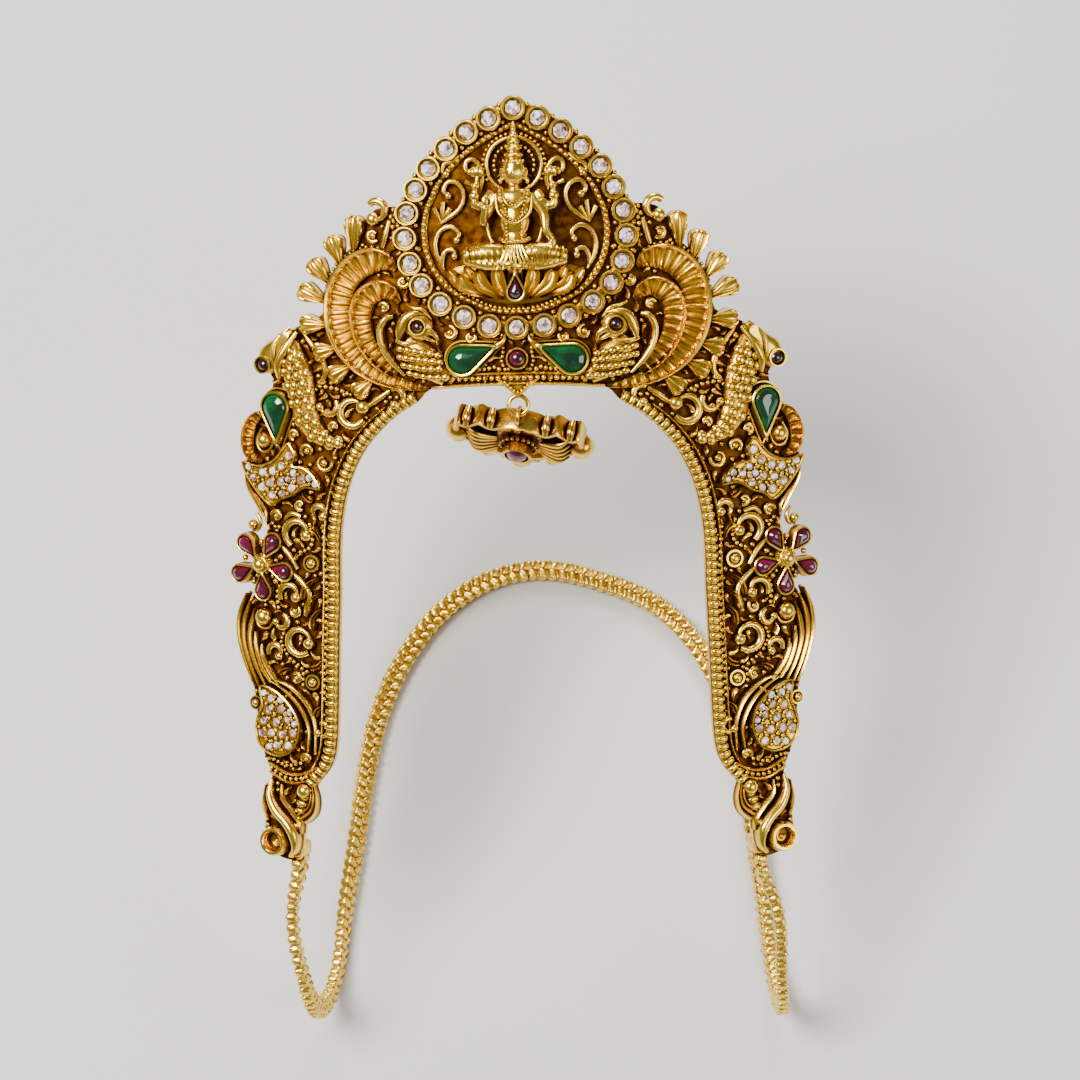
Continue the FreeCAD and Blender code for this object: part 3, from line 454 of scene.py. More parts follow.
def repeatTree(name, unit, material):
    tree = bpy.data.node_groups.new(name, "GeometryNodeTree")
    for label, kind in (("Points", "Geometry"), ("Scale", "Float"), ("Seed", "Int")):
        tree.interface.new_socket(label, in_out="INPUT", socket_type="NodeSocket" + kind)
    tree.interface.new_socket("Metal", in_out="OUTPUT", socket_type="NodeSocketGeometry")
    ins = node(tree, "NodeGroupInput")
    outs = node(tree, "NodeGroupOutput")
    turn, size = [node(tree, "GeometryNodeInputNamedAttribute", [("Name", label)],
                       data_type="FLOAT_VECTOR") for label in ("turn", "size")]
    jitter = node(tree, "FunctionNodeRandomValue", [
        ("Seed", ins.outputs["Seed"]), (2, repeatLook["smallest"]), (3, repeatLook["largest"])],
        data_type="FLOAT")
    grown = node(tree, "ShaderNodeVectorMath", [(0, size.outputs[0]), ("Scale", jitter.outputs[1])],
                 operation="SCALE")
    scaled = node(tree, "ShaderNodeVectorMath", [(0, grown.outputs[0]),
                                                 ("Scale", ins.outputs["Scale"])],
                  operation="SCALE")
    source = node(tree, "GeometryNodeObjectInfo", [("Object", unit)])
    rotate = node(tree, "FunctionNodeEulerToRotation", [(0, turn.outputs[0])])
    copies = node(tree, "GeometryNodeInstanceOnPoints", [("Points", ins.outputs["Points"]),
                                                         ("Instance", source.outputs["Geometry"]),
                                                         ("Rotation", rotate.outputs[0]),
                                                         ("Scale", scaled.outputs[0])])
    real = node(tree, "GeometryNodeRealizeInstances", [("Geometry", copies.outputs[0])])
    dress = node(tree, "GeometryNodeSetMaterial", [("Geometry", real.outputs[0]),
                                                   ("Material", material)])
    tree.links.new(dress.outputs[0], outs.inputs[0])
    return tree


def plainMesh(name, holder):  # the holder's shape with its modifiers applied; the holder goes
    graph = bpy.context.evaluated_depsgraph_get()
    mesh = bpy.data.meshes.new_from_object(holder.evaluated_get(graph))
    bpy.data.objects.remove(holder)
    mesh.name = name
    return mesh


def repeat(name, unit, spots, material):  # spots: place and size in mm
    mesh = bpy.data.meshes.new(name + "Points")
    mesh.from_pydata([tuple(place.translation * mm) for place, size in spots], [], [])
    turns = [tuple(place.to_euler()) for place, size in spots]
    sizes = [np.array(size) * mm for place, size in spots]
    for label, rows in (("turn", turns), ("size", sizes)):
        rowData = mesh.attributes.new(label, "FLOAT_VECTOR", "POINT").data
        rowData.foreach_set("vector", np.array(rows, float).ravel())
    holder = linked(name + "Points", mesh)
    tree = repeatTree(name + "Tree", unit, material)
    modifier = holder.modifiers.new("Repeat", "NODES")
    modifier.node_group = tree
    ids = {item.name: item.identifier for item in tree.interface.items_tree
           if item.in_out == "INPUT"}
    modifier[ids["Scale"]] = repeatLook["scale"]
    modifier[ids["Seed"]] = repeatLook["seed"]
    return settle(name, plainMesh(name, holder), "armlet")


def bothSpots(u, v, w, turn, size):
    filled.append((u, v))
    return [(onPlate(u, v, w, turn), size), (onPlate(-u, v, w, 180 - turn), size)]


beads = []  # every bead border of the plate, set out at the end as one piece


def beadRow(points, pitch, w, radius, closed=False, sides=2):
    size = (radius, radius, radius)
    for u, v, turn in spaced(smooth(points, 6, closed), pitch, closed):
        beads.extend(bothSpots(u, v, w, turn, size) if sides == 2
                     else [(onPlate(u, v, w, turn), size)])


# Base wall: the outline cut from a bent sheet

outerEdge = [
    (0.0, 48.3), (3.1, 46.9), (6.0, 45.2), (8.6, 43.1), (11.1, 40.6), (12.9, 37.9),
    (14.6, 35.6), (17.0, 35.4), (19.0, 34.6), (20.6, 31.4), (23.2, 28.8), (25.2, 25.4),
    (26.1, 21.5), (28.8, 20.2), (32.4, 18.6), (34.6, 17.2), (35.4, 14.9), (33.5, 12.8),
    (34.9, 9.6), (37.0, 7.4), (37.9, 3.6), (37.5, -1.6), (35.5, -5.2), (35.2, -8.0),
    (37.6, -12.0), (37.0, -15.4), (39.6, -18.3), (40.2, -21.0), (39.3, -25.0), (37.8, -28.4),
    (37.4, -31.0), (37.2, -34.6), (36.2, -37.8), (35.3, -40.4), (36.1, -44.0), (36.6, -47.6),
    (36.1, -50.0), (34.4, -51.2), (31.6, -51.2),
]
innerEdge = [
    (30.6, -46.8), (29.6, -43.2), (28.4, -40.8), (26.6, -38.7), (25.6, -35.9), (25.2, -30.0),
    (24.9, -22.0), (24.6, -15.0), (24.5, -10.0), (24.1, -5.6), (23.0, -0.9), (21.1, 3.1),
    (18.5, 6.2), (15.8, 8.5), (13.4, 9.9), (11.5, 11.7), (7.5, 12.05), (1.5, 12.05), (0.0, 10.9),
]

wallLook = {"thick": 1.2, "strip": 2.0}  # mm


def baseWall():
    outline = smooth(wholeLoop(outerEdge + innerEdge), 3, True)
    work = bmesh.new()
    work.faces.new([work.verts.new((u, v, 0.0)) for u, v in outline])
    for step in range(-20, 21):  # cut in strips, so that the wall can bend
        geometry = list(work.verts) + list(work.edges) + list(work.faces)
        bmesh.ops.bisect_plane(work, geom=geometry, plane_co=(step * wallLook["strip"], 0, 0),
                               plane_no=(1, 0, 0))
    lifted = bmesh.ops.extrude_face_region(work, geom=list(work.faces))
    for item in lifted["geom"]:
        if isinstance(item, bmesh.types.BMVert):
            item.co.z = -wallLook["thick"]
    bmesh.ops.triangulate(work, faces=list(work.faces))
    for vertex, place in zip(work.verts, bent([vertex.co for vertex in work.verts])):
        vertex.co = place * mm
    mesh = bpy.data.meshes.new("plate_wall")
    work.to_mesh(mesh)
    work.free()
    tidyMesh(mesh)
    mesh.materials.append(castGold)
    return settle("plate_wall", mesh, "armlet")


base = baseWall()
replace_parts(base, "front_plate")

rimLook = {"halfWidth": 0.78, "height": 0.6, "pitch": 1.06, "bar": (0.42, 0.82, 0.55)}  # mm


def rimPath():
    run = [(u + 0.72, v + 0.1) for u, v in innerEdge[:11]]
    return run + [(u + 0.45, v + 0.6) for u, v in innerEdge[11:15]]


def plateRim():
    rim = Metal()
    rim.ribbon([(u, v, rimLook["halfWidth"], rimLook["height"]) for u, v in rimPath()], flatRound)
    rim.ribbon([(u + 1.15, v + 0.35, 0.24, 0.9) for u, v in rimPath()[1:-1]], archTop)
    rim.mirrored()
    rim.piece("plate_rim", castGold)
    bars = []
    for u, v, turn in spaced(smooth(rimPath(), 6), rimLook["pitch"]):
        bars += bothSpots(u - 0.05, v, 0.58, turn, rimLook["bar"])
    repeat("rim_bars", barUnit, bars, stampGold)


plateRim()


# Halo: twenty-six round cups on a raised band, a bead border inside

haloHalf = [
    (0.0, 47.9), (3.1, 46.6), (6.0, 44.9), (8.6, 42.8), (10.95, 40.3), (12.65, 37.6),
    (13.85, 34.6), (14.2, 31.35), (13.6, 28.1), (12.15, 25.3), (9.75, 22.85), (6.7, 21.15),
    (3.5, 19.97), (0.0, 19.7),
]
haloPath = wholeLoop(haloHalf)
medallionV = 33.3  # mm, height of the medallion's middle
haloLook = {
    "cup": (1.6, 1.43, 1.06), "band": (1.05, 0.55), "innerBand": (0.5, 0.42),
    "beadPitch": 0.86, "bead": 0.4, "between": ((1.12, 0.42), (-1.12, 0.36), (0.0, 0.3)),
}  # mm; cup: radius, height, hole; bands: half width, height; between: reach and radius of beads


def roundCup(metal, u, v, radius, height, hole):
    lip = radius * 0.93  # the wall flares and ends in a thin bright lip
    inner = lip - 0.17
    rows = [(radius * 1.04, foot), (radius * 1.04, 0.35), (radius * 0.93, height * 0.5),
            (radius * 0.93, height * 0.85), (radius * 0.99, height), (lip + 0.02, height + 0.1),
            (inner + 0.06, height + 0.1), (inner, height), (inner - 0.03, height - 0.5),
            (hole + 0.02, height - 0.56), (hole, height - 0.82), (hole * 0.4, height - 0.84)]
    metal.turned(u, v, rows)


def haloSetting():
    metal = Metal()
    metal.ribbon([(u, v, *haloLook["band"]) for u, v in haloPath], flatRound, closed=True)
    for u, v in haloPath:
        roundCup(metal, u, v, *haloLook["cup"])
    inner = [(u * 0.835, medallionV + (v - medallionV) * 0.85) for u, v in haloPath]
    metal.ribbon([(u, v, *haloLook["innerBand"]) for u, v in inner], flatRound, closed=True)
    metal.piece("halo_setting", castGold)
    beadRow(inner, haloLook["beadPitch"], 0.45, haloLook["bead"], closed=True, sides=1)
    for spot, following in zip(haloPath, haloPath[1:] + haloPath[:1]):
        middle = (np.array(spot) + np.array(following)) / 2
        out = middle - np.array((0, medallionV))
        out /= np.linalg.norm(out)
        for reach, radius in haloLook["between"]:
            beads.append((onPlate(*(middle + out * reach), 0.5), (radius, radius, radius)))


haloSetting()


# Pear and round cups that the scene shares

def pearOutline(radius, tip, sides=22):
    slant = math.acos(radius / tip)
    rows = []
    for k in range(sides + 1):
        angle = math.pi / 2 + slant + (2 * math.pi - 2 * slant) * k / sides
        rows.append((radius * math.cos(angle), radius * math.sin(angle)))
    left, right = np.array(rows[0]), np.array(rows[-1])
    point = np.array((0, tip))
    rows += [tuple(right + (point - right) * s) for s in (0.35, 0.7, 0.93)]
    rows += [tuple(point + (left - point) * s) for s in (0.07, 0.3, 0.65)]
    return rows


def pearRing(place, radius, tip, grow, w):
    u, v, turn = place
    wide = (radius + grow) / radius
    c, s = math.cos(math.radians(turn)), math.sin(math.radians(turn))
    return [(u + (x * c - y * s) * wide, v + (x * s + y * c) * wide, w)
            for x, y in pearOutline(radius, tip)]


def pearCup(metal, place, radius, tip, height, wall=0.4):
    rows = [(wall + 0.14, foot), (wall + 0.14, 0.3), (wall - 0.04, height * 0.45),
            (wall - 0.04, height * 0.8), (wall + 0.02, height), (wall - 0.1, height + 0.1),
            (0.12, height + 0.06), (0.04, height - 0.15), (0.02, height - 0.75),
            (-radius * 0.6, height - 0.76)]
    metal.loft([pearRing(place, radius, tip, grow, w) for grow, w in rows])


emeraldLook = {"radius": 1.7, "tip": 4.2, "cup": 1.9, "wire": 0.16}  # mm


def emeraldCup(metal, place):  # with a plain wire laid round it
    radius, tip = emeraldLook["radius"], emeraldLook["tip"]
    pearCup(metal, place, radius, tip, emeraldLook["cup"])
    metal.tube(pearRing(place, radius, tip, 0.72, 0.5), emeraldLook["wire"], 6, 1, True)


# Bridge: pear emeralds to both sides of a ruby, bead rows under them

bridgeLook = {"emerald": (7.0, 15.6, 68.0), "rubyCup": (15.75, 1.45, 1.9, 1.06)}  # mm, degrees


def bridge():
    metal = Metal()
    u, v, turn = bridgeLook["emerald"]
    emeraldCup(metal, (u, v, turn))
    reach = emeraldLook["tip"] * 1.22
    tipU, tipV = u - reach * math.sin(math.radians(turn)), v + reach * math.cos(math.radians(turn))
    metal.tube([(tipU + 0.4, tipV - 0.15, 1.0), (tipU - 0.5, tipV + 0.5, 1.1),
                (tipU - 0.8, tipV + 1.4, 0.9)], [0.42, 0.3, 0.12])
    metal.tube([(10.6, 13.9, 0.6), (9.4, 13.7, 0.7), (8.4, 13.9, 0.6)], [0.2, 0.35, 0.2])
    metal.ribbon([(4.9, 18.6, 0.2, 0.9), (3.4, 18.2, 0.35, 0.9), (1.9, 18.3, 0.3, 0.9),
                  (0.9, 18.5, 0.1, 0.6)], archTop)
    metal.mirrored()
    roundCup(metal, 0, *bridgeLook["rubyCup"])
    for v, height in ((13.75, 0.62), (12.45, 0.72)):
        metal.ribbon([(u, v - 0.004 * u * u, 0.3, height)
                      for u in (-11.2, -7.5, -3.5, 0, 3.5, 7.5, 11.2)], archTop)
    metal.shelf([(-2.7, 12.9), (0, 10.6), (2.7, 12.9), (1.4, 13.6), (-1.4, 13.6)],
                [(0, foot), (0, 0.7), (0.2, 0.85), (0.45, 0.7), (0.55, 0.35)])
    metal.piece("bridge_setting", castGold)
    beadRow(evenSides([(-10.9, 13.1), (-5, 13.15), (0, 13.2)]), 0.84, 0.5, 0.4, sides=1)
    beadRow([(3.0, 14.6), (4.2, 14.35), (5.6, 14.3)], 0.72, 0.45, 0.32)
    beadRow(evenSides([(-1.7, 12.6), (0, 11.3)]), 0.55, 0.6, 0.26, sides=1)
    beadRow([(2.1, 17.6), (1.8, 16.9), (1.95, 16.1), (2.0, 15.2), (1.6, 14.3)], 0.62, 0.45, 0.3)


bridge()
print("base, rim, halo and bridge made")


# Scrolls and small forms shared by the plate's parts

def curl(metal, u, v, radius, wire, start, sweep, knob, lift=0.45, inward=0.0):
    rows, sizes = [], []  # a wire round (u, v) that narrows inward and ends in a ball
    steps = max(6, int(abs(sweep) / 30))
    for k in range(steps + 1):
        share = k / steps
        angle = math.radians(start + sweep * share)
        reach = radius * (1 - inward * share)
        rows.append((u + reach * math.cos(angle), v + reach * math.sin(angle), lift + 0.15 * share))
        sizes.append(wire * (0.65 + 0.5 * math.sin(math.pi * min(1, 0.15 + share))))
    metal.tube(rows, sizes, 10, 2)
    if knob:
        metal.ball(*rows[-1][:2], lift + 0.3, knob)


plumeForm = [(0, 0.2, 0.6), (0.28, 0.5, 0.8), (0.54, 0.84, 0.95), (0.75, 1.0, 1.0),
             (0.86, 0.9, 0.98), (0.935, 0.68, 0.93), (0.98, 0.4, 0.8), (1.0, 0.1, 0.6)]
leafForm = [(0, 0.38, 0.6), (0.25, 0.6, 0.85), (0.55, 0.86, 1.0), (0.78, 1.0, 1.02),
            (0.91, 0.88, 0.95), (0.98, 0.55, 0.75), (1.0, 0.18, 0.45)]  # share, width, height


def blade(metal, root, tip, half, height, form, profile, bow=0.0):  # bow bends it sideways
    (u0, v0), (u1, v1) = root, tip
    du, dv = u1 - u0, v1 - v0
    line = []
    for share, wide, tall in form:
        side = bow * math.sin(math.pi * share)
        line.append((u0 + du * share - dv * side, v0 + dv * share + du * side,
                     half * wide, height * tall))
    metal.ribbon(line, profile, steps=3)


def leafBlade(metal, root, tip, half, height, bow=0.0, ribs=3):
    blade(metal, root, tip, half, height, leafForm, strands(ribs, 0.5), bow)


def stalk(metal, rows, size):
    metal.tube([(u, v, 0.5) for u, v in rows], size, 9, 4)


# Shoulder: two nested hollow crescents, a crest and a peacock on each side

outerCrescent = [
    (15.6, 27.4, 0.5, 1.0), (16.9, 28.3, 1.2, 1.3), (18.8, 28.5, 1.75, 1.5),
    (20.8, 27.7, 1.9, 1.55),
    (22.5, 25.9, 1.95, 1.6), (23.4, 23.2, 1.95, 1.6), (23.3, 20.3, 1.95, 1.6),
    (22.2, 17.4, 1.8, 1.55), (20.2, 15.0, 1.55, 1.5), (17.5, 13.3, 1.15, 1.3),
    (14.4, 12.3, 0.7, 1.1), (11.6, 11.9, 0.25, 0.7),
]
innerCrescent = [
    (15.2, 23.1, 0.4, 1.0), (16.3, 24.3, 1.0, 1.3), (17.9, 24.7, 1.35, 1.5), (19.6, 23.7, 1.5, 1.6),
    (20.4, 21.7, 1.5, 1.6), (20.2, 19.4, 1.4, 1.55), (19.3, 17.2, 1.25, 1.5),
    (17.8, 15.3, 1.05, 1.35), (15.9, 13.6, 0.55, 1.0),
]
feathers = [
    ((20.9, 34.4), (21.2, 29.6)), ((24.2, 31.8), (22.9, 27.9)), ((27.1, 28.6), (24.6, 25.6)),
    ((28.9, 24.9), (25.1, 23.1)), ((28.9, 20.2), (24.9, 20.2)), ((27.0, 16.4), (23.7, 17.2)),
    ((24.9, 13.3), (21.8, 14.9)), ((21.4, 11.0), (18.9, 13.2)),
]


shoulderLook = {"flutes": (24, 14), "feather": (1.36, 1.7)}  # counts; half width and height, mm
fluteDepth = 0.62


def flutes(count):  # round ribs, sharp grooves between them; the band's two edges stay smooth
    def wave(mark, a):
        if a > 0.62 or a < -0.88:
            return 1
        return 1 - fluteDepth * abs(math.sin(math.pi * count * mark)) ** 1.2
    return wave


def shoulder():
    metal = Metal()
    for line, count in zip((outerCrescent, innerCrescent), shoulderLook["flutes"]):
        metal.ribbon(line, ribbed, steps=20, wave=flutes(count))
    metal.ribbon([(15.9, 21.3, 0.3, 1.5), (16.9, 21.0, 0.5, 1.9), (17.7, 19.6, 0.5, 1.9),
                  (17.5, 17.6, 0.52, 1.8), (16.4, 15.6, 0.5, 1.6), (14.6, 13.6, 0.25, 1.1)],
                 flatRound)
    for tip, root in feathers:
        blade(metal, root, tip, *shoulderLook["feather"], plumeForm, plumeTop)
    curl(metal, 18.1, 35.0, 1.2, 0.5, 40, 250, 0.92)
    stalk(metal, [(16.4, 33.6), (16.9, 31.8), (17.4, 30.2)], [0.3, 0.42, 0.3])
    metal.mirrored()
    metal.piece("shoulder_feathers", castGold)
    beadRow([(16.6, 29.4), (18.9, 30.3), (21.8, 29.5), (24.3, 27.3), (25.4, 23.8), (24.9, 19.6),
             (22.9, 15.8), (18.8, 12.7)], 0.8, 0.35, 0.3)
    beadRow([(15.0, 30.6), (15.9, 32.6), (15.6, 34.4)], 0.8, 0.45, 0.38)


peacockBody = [
    (14.4, 18.0, 1.35, 1.3), (13.5, 16.9, 1.9, 1.4), (12.3, 15.8, 2.1, 1.4),
    (11.2, 14.8, 1.95, 1.35), (10.2, 13.9, 1.6, 1.2), (9.2, 13.1, 1.1, 1.0),
]
plumageRows = [
    [(15.0, 17.1), (13.6, 16.9), (12.2, 16.6), (11.0, 16.4), (10.2, 16.2)],
    [(15.1, 16.0), (13.4, 15.8), (11.8, 15.6), (10.4, 15.4), (9.9, 15.3)],
    [(14.6, 14.9), (13.2, 14.7), (11.6, 14.5), (10.0, 14.5)],
    [(13.9, 13.9), (12.6, 13.6), (11.0, 13.4), (9.2, 13.4)],
]
peacockLook = {"pitch": 0.92, "scale": (0.58, 0.44, 0.46)}  # mm


def peacock():
    metal = Metal()
    metal.ribbon(peacockBody, flatRound)
    metal.ball(12.6, 19.9, 0.9, 1.9, 18, 0.6)
    metal.ribbon([(15.3, 17.9, 0.3, 1.5), (15.0, 19.4, 0.75, 1.9), (14.2, 21.0, 0.85, 2.0),
                  (12.9, 21.7, 0.55, 1.9), (11.5, 21.5, 0.2, 1.4)], flatRound)
    roundCup(metal, 12.55, 20.0, 1.15, 2.4, 0.8)
    metal.tube([(11.5, 19.5, 1.4), (10.7, 19.1, 1.4), (10.25, 18.5, 1.3), (10.2, 17.6, 1.1)],
               [0.5, 0.4, 0.26, 0.08])
    metal.tube([(11.9, 18.7, 1.3), (11.1, 18.3, 1.3), (10.5, 18.0, 1.15)], [0.38, 0.28, 0.1])
    metal.tube([(14.2, 22.9, 1.0), (13.2, 22.4, 1.5), (11.9, 22.1, 1.5), (10.9, 20.9, 1.3)],
               [0.14, 0.22, 0.24, 0.1])
    metal.tube([(15.6, 18.1, 1.3), (14.4, 17.8, 1.7), (12.9, 17.95, 1.5)], [0.2, 0.3, 0.2])
    metal.mirrored()
    metal.piece("peacocks", castGold)
    plumage = []
    for row in plumageRows:
        for u, v, turn in spaced(smooth(row, 6), peacockLook["pitch"]):
            near = min(math.hypot(u - a, v - b) / half for a, b, half, tall in peacockBody)
            lift = 1.54 - 0.45 * min(near, 1.2) ** 2
            plumage += bothSpots(u, v, lift, turn, peacockLook["scale"])
    repeat("peacock_scales", scaleUnit, plumage, stampGold)


shoulder()
peacock()
print("shoulder and peacocks made")


# Fish on the shoulder: a scaled body, a smooth gill band, a pear emerald under the head

fishSpine = [
    (30.9, 17.6, 1.55, 1.6), (30.2, 15.6, 1.95, 1.95), (29.4, 13.4, 2.05, 2.05),
    (29.0, 11.2, 2.0, 2.05), (28.6, 9.0, 1.9, 1.95), (27.9, 7.2, 1.7, 1.8), (26.8, 5.7, 1.35, 1.6),
    (25.3, 4.9, 0.95, 1.35), (23.9, 4.7, 0.6, 1.1),
]
fishLook = {"emerald": (32.5, 9.3, 178.0), "flutes": 8, "pitch": 1.12, "scale": (0.68, 0.66, 0.55)}


def fish():
    metal = Metal()
    metal.ribbon([(u, v, half, tall - 0.25) for u, v, half, tall in fishSpine], flatRound, steps=6)
    head = smooth([(29.7, 19.5), (31.2, 19.3), (32.6, 18.3), (34.5, 17.0), (35.1, 15.2),
                   (34.2, 13.8), (32.6, 13.9), (31.3, 15.3), (30.2, 17.4)], 4, True)
    metal.shelf(head, [(0, foot), (0, 1.3), (0.3, 1.75), (0.8, 2.0), (1.4, 2.05)])
    roundCup(metal, 33.9, 14.9, 1.25, 2.2, 0.9)
    metal.tube([(29.2, 19.2, 1.4), (30.6, 17.0, 2.1), (31.6, 15.0, 2.2), (31.8, 13.2, 1.6)],
               [0.3, 0.5, 0.5, 0.3])
    metal.tube([(30.2, 19.8, 1.3), (31.9, 18.0, 2.0), (32.3, 16.0, 2.1), (32.2, 14.4, 1.7)],
               [0.2, 0.34, 0.34, 0.2])
    for k in range(5):
        u, v = 27.6 - 0.25 * k, 15.8 - 1.9 * k
        leafBlade(metal, (u, v), (u - 1.6, v + 0.9), 0.5, 1.0, ribs=1)
    emeraldCup(metal, fishLook["emerald"])
    crescent = [(34.4, 8.6, 0.3, 1.0), (35.9, 7.8, 0.7, 1.4), (36.9, 6.2, 0.85, 1.5),
                (37.2, 4.4, 0.85, 1.5), (36.7, 2.8, 0.65, 1.4), (35.3, 1.9, 0.3, 1.0)]
    metal.ribbon(crescent, ribbed, steps=16, wave=flutes(fishLook["flutes"]))
    metal.ball(34.6, 4.9, 0.95, 1.05, 14)
    metal.tube([(33.2, 5.9, 0.5), (34.0, 3.6, 0.5), (35.4, 3.4, 0.5), (36.0, 4.8, 0.5),
                (35.2, 6.3, 0.5)], 0.2)
    curl(metal, 21.9, 8.6, 1.7, 0.52, -150, 300, 0.98)
    curl(metal, 25.2, 9.6, 1.2, 0.45, 150, 200, 0.6)
    curl(metal, 16.0, 10.8, 1.1, 0.42, 60, 220, 0.6)
    stalk(metal, [(19.7, 9.6), (18.2, 10.6), (16.8, 11.6)], [0.35, 0.42, 0.3])
    stalk(metal, [(26.6, 12.4), (25.6, 13.6), (25.9, 15.4), (27.3, 17.4), (28.6, 19.0)],
          [0.25, 0.4, 0.45, 0.4, 0.25])
    metal.mirrored()
    metal.piece("fish", castGold)
    scales = []
    line = smooth(fishSpine, 8)[4:]
    run = spaced(line, fishLook["pitch"])
    places, marks = np.linspace(0, 1, len(run)), np.linspace(0, 1, len(line))
    widths, talls = (np.interp(places, marks, line[:, column]) for column in (2, 3))
    for row, ((u, v, turn), half, tall) in enumerate(zip(run, widths, talls)):
        count = 4 if half > 1.85 else 3
        side = math.radians(turn + 90)
        for k in range(count):
            a = (k + 0.5 * (row % 2)) / (count - 0.5) * 2 - 1
            if abs(a) <= 0.93:
                w = tall * (1.0 - 0.42 * a * a) - 0.22
                scales += bothSpots(u + math.cos(side) * a * half, v + math.sin(side) * a * half,
                                    w, turn, fishLook["scale"])
    repeat("fish_scales", scaleUnit, scales, stampGold)
    beadRow([(30.4, 7.0), (30.2, 9.4), (30.6, 11.8), (31.4, 13.0)], 0.72, 0.45, 0.32)
    beadRow([(27.3, 10.9), (26.6, 12.0), (24.2, 11.8), (22.6, 11.2)], 0.8, 0.45, 0.36)


fish()
print("fish made")


# Stone-set leaf under the shoulder and paisley on the leg: a rim, small stones, prong beads

leafOutline = [
    (37.8, 2.0), (35.4, 1.5), (33.0, 2.4), (31.0, 4.6), (29.9, 3.0), (30.3, 1.6), (28.8, 1.4),
    (27.4, 0.4), (26.4, -1.5), (28.6, -1.3), (30.5, -2.4), (32.1, -2.9), (33.4, -3.8), (34.7, -3.0),
    (36.3, -1.2), (37.5, 0.6),
]
paisleyOutline = [
    (36.1, -28.0), (34.0, -28.3), (32.0, -29.8), (30.7, -31.6), (30.2, -33.6), (30.9, -35.9),
    (32.6, -37.2), (34.5, -37.2), (36.2, -36.1), (36.9, -34.2), (36.6, -32.2), (35.8, -30.4),
]
leafStones = [
    (37.0, 1.2), (36.3, -0.1), (34.9, 0.6), (33.4, 0.8), (32.0, 1.5), (30.9, 2.9),
    (32.2, -0.6), (29.3, -0.2), (30.6, -1.3), (33.8, -0.8), (35.1, -1.4), (33.5, -2.4),
]
paisleyStones = [
    (34.5, -29.6), (33.1, -31.0), (34.8, -31.2), (32.0, -32.4), (35.7, -32.7), (33.8, -32.8),
    (31.3, -34.1), (32.9, -34.4), (34.6, -34.3), (36.0, -34.4), (33.8, -36.0), (32.1, -35.9),
]


def inside(points, ring):
    u, v = np.asarray(points, float).T
    hits = np.zeros(len(u), int)
    for (u1, v1), (u2, v2) in zip(ring, np.roll(ring, -1, axis=0)):
        if v1 != v2:
            hits += ((v1 > v) != (v2 > v)) & (u < (u2 - u1) * (v - v1) / (v2 - v1) + u1)
    return hits % 2 == 1


smallStones = []
fieldLook = {"stone": (0.5, 0.5, 0.4), "prong": (0.24, 0.24, 0.3), "grid": 0.2, "room": 1.12,
             "edge": 0.62}  # mm


def stoneField(metal, outline, stones):
    ring = smooth(outline, 3, True)
    stones = list(stones)
    (uLow, vLow), (uHigh, vHigh) = ring.min(axis=0), ring.max(axis=0)
    grid = [(u, v) for v in np.arange(vLow, vHigh, fieldLook["grid"])
            for u in np.arange(uLow, uHigh, fieldLook["grid"])]
    for (u, v), within in zip(grid, inside(grid, ring)):  # more stones where there is room
        if within and np.linalg.norm(ring - np.array((u, v)), axis=1).min() > fieldLook["edge"]:
            if min(math.hypot(u - a, v - b) for a, b in stones) >= fieldLook["room"]:
                stones.append((u, v))
                smallStones.extend(bothSpots(u, v, 1.16, 0, fieldLook["stone"]))
    metal.shelf(ring, [(-0.12, foot), (-0.12, 0.9), (-0.02, 1.45), (0.14, 1.5), (0.26, 1.35),
                       (0.3, 1.12), (0.5, 1.1)])
    for u, v in stones:
        metal.turned(u, v, [(0.74, 0.9), (0.74, 1.22), (0.68, 1.3), (0.62, 1.2), (0.6, 0.95)], 14)
    prongs = set()
    for a, (u, v) in enumerate(stones):
        for u2, v2 in stones[a + 1:]:
            far = math.hypot(u2 - u, v2 - v)
            if far < 2.0:  # two prongs between neighbours
                nu, nv = -(v2 - v) / far, (u2 - u) / far
                for side in (-0.42, 0.42):
                    spot = (round((u + u2) / 2 + nu * side, 1), round((v + v2) / 2 + nv * side, 1))
                    if min(math.hypot(spot[0] - x, spot[1] - y) for x, y in stones) > 0.55:
                        prongs.add(spot)
    for u, v in sorted(prongs):
        beads.extend(bothSpots(u, v, 1.3, 0, fieldLook["prong"]))


def leaf():
    metal = Metal()
    stoneField(metal, leafOutline, leafStones)
    metal.ribbon([(37.7, 1.6, 0.2, 1.0), (37.4, -1.2, 0.42, 1.2), (36.1, -3.5, 0.45, 1.2),
                  (35.1, -5.3, 0.25, 0.9)], archTop)
    metal.ribbon([(37.0, -1.8, 0.2, 0.8), (35.9, -3.2, 0.35, 0.9), (34.9, -4.6, 0.3, 0.9),
                  (34.9, -6.2, 0.2, 0.7)], archTop)
    metal.ball(37.0, -6.5, 0.4, 0.68)
    metal.tube([(36.4, -4.9, 0.4), (35.8, -6.0, 0.45), (36.2, -7.1, 0.4), (37.1, -7.3, 0.4)],
               [0.2, 0.3, 0.3, 0.15])
    metal.mirrored()
    metal.piece("leaf_setting", castGold)


def paisley():
    metal = Metal()
    stoneField(metal, paisleyOutline, paisleyStones)
    metal.mirrored()
    metal.piece("paisley_setting", castGold)


leaf()
paisley()


# Flower: five pear cups round a stepped boss

flowerCentre = (35.5, -11.7)
flowerLook = {"reach": 3.6, "cup": (0.95, 2.1, 1.3, 0.35)}  # mm; cup: radius, tip, height, wall


